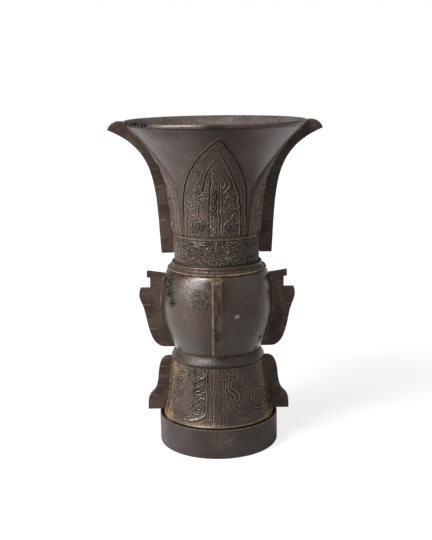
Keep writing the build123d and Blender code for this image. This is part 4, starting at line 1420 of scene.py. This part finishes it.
def add_world():
    """A pale room, white where it is seen, with a dimmer ceiling."""
    world = bpy.data.worlds.new("studio")
    bpy.context.scene.world = world
    world.use_nodes = True
    tree = world.node_tree
    tree.nodes.clear()
    direction = node(tree, "ShaderNodeTexCoord").outputs["Generated"]
    rise = node(tree, "ShaderNodeSeparateXYZ", {0: direction}).outputs["Z"]
    wall = node(tree, "ShaderNodeMapRange", {0: rise, 1: 0.1, 2: 0.4, 3: 1.0, 4: 0.25})
    seen = seen_directly(tree, direction, 0.32, 0.04)
    strength = node(tree, "ShaderNodeMapRange", {0: seen, 3: room_light, 4: wall})
    room = node(tree, "ShaderNodeBackground", {"Color": (1, 1, 1, 1), "Strength": strength})
    node(tree, "ShaderNodeOutputWorld", {"Surface": room})


def add_floor():
    """A white floor that keeps the vessel's shadow and fades into the white room."""
    mesh = bpy.data.meshes.new("floor")
    work = bmesh.new()
    bmesh.ops.create_circle(work, cap_ends=True, segments=96, radius=4.0)
    work.to_mesh(mesh)
    work.free()
    floor = new_object("floor", mesh)
    material = bpy.data.materials.new("white_paper_sweep")
    material.use_nodes = True
    tree = material.node_tree
    tree.nodes.clear()
    place = node(tree, "ShaderNodeTexCoord").outputs["Object"]
    out = node(tree, "ShaderNodeVectorMath", {0: place}, operation="LENGTH").outputs["Value"]
    fade = node(tree, "ShaderNodeMapRange", {0: out, 1: 0.2, 2: 1.2, 3: 0.76, 4: 1.0})
    seen = seen_directly(tree, place, 0.57, 0.04)
    glow = node(tree, "ShaderNodeMath", {0: fade, 1: seen}, operation="MULTIPLY")
    paper = node(tree, "ShaderNodeBsdfDiffuse", {"Color": linear("#AEAEAE")})
    white = node(tree, "ShaderNodeEmission", {"Color": (1, 1, 1, 1), "Strength": glow})
    both = node(tree, "ShaderNodeAddShader", {0: paper, 1: white})
    node(tree, "ShaderNodeOutputMaterial", {"Surface": both})
    mesh.materials.append(material)


def stage():
    """The white room, its floor, the lamps and the camera."""
    bpy.context.scene.view_settings.view_transform = "Standard"
    add_world()
    add_floor()
    # each lamp has its azimuth and elevation in degrees, its distance and size in metres, and its watts
    add_lamp("high_key", -44, 49, 1.4, 0.46, 13.0)
    add_lamp("low_key", -57, 21, 1.4, 0.58, 10.5)
    add_lamp("softbox", -80, 12, 1.3, 0.8, 0.8)
    add_lamp("fill", 60, 24, 1.6, 2.2, 5.0)
    add_lamp("top", -10, 80, 1.2, 0.9, 1.6)
    add_camera()


trumpet()
bulb()
neck_ring()
waist_ring()
plinth()
leaves()
ornament_bands()
flanges()
joint_deposits()
# The floor plate stays the solid's own disc, in the bloom of the inside
floor_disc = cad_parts["floor_plate"].data
floor_disc.materials.clear()
floor_disc.materials.append(mouth_bronze)
stage()
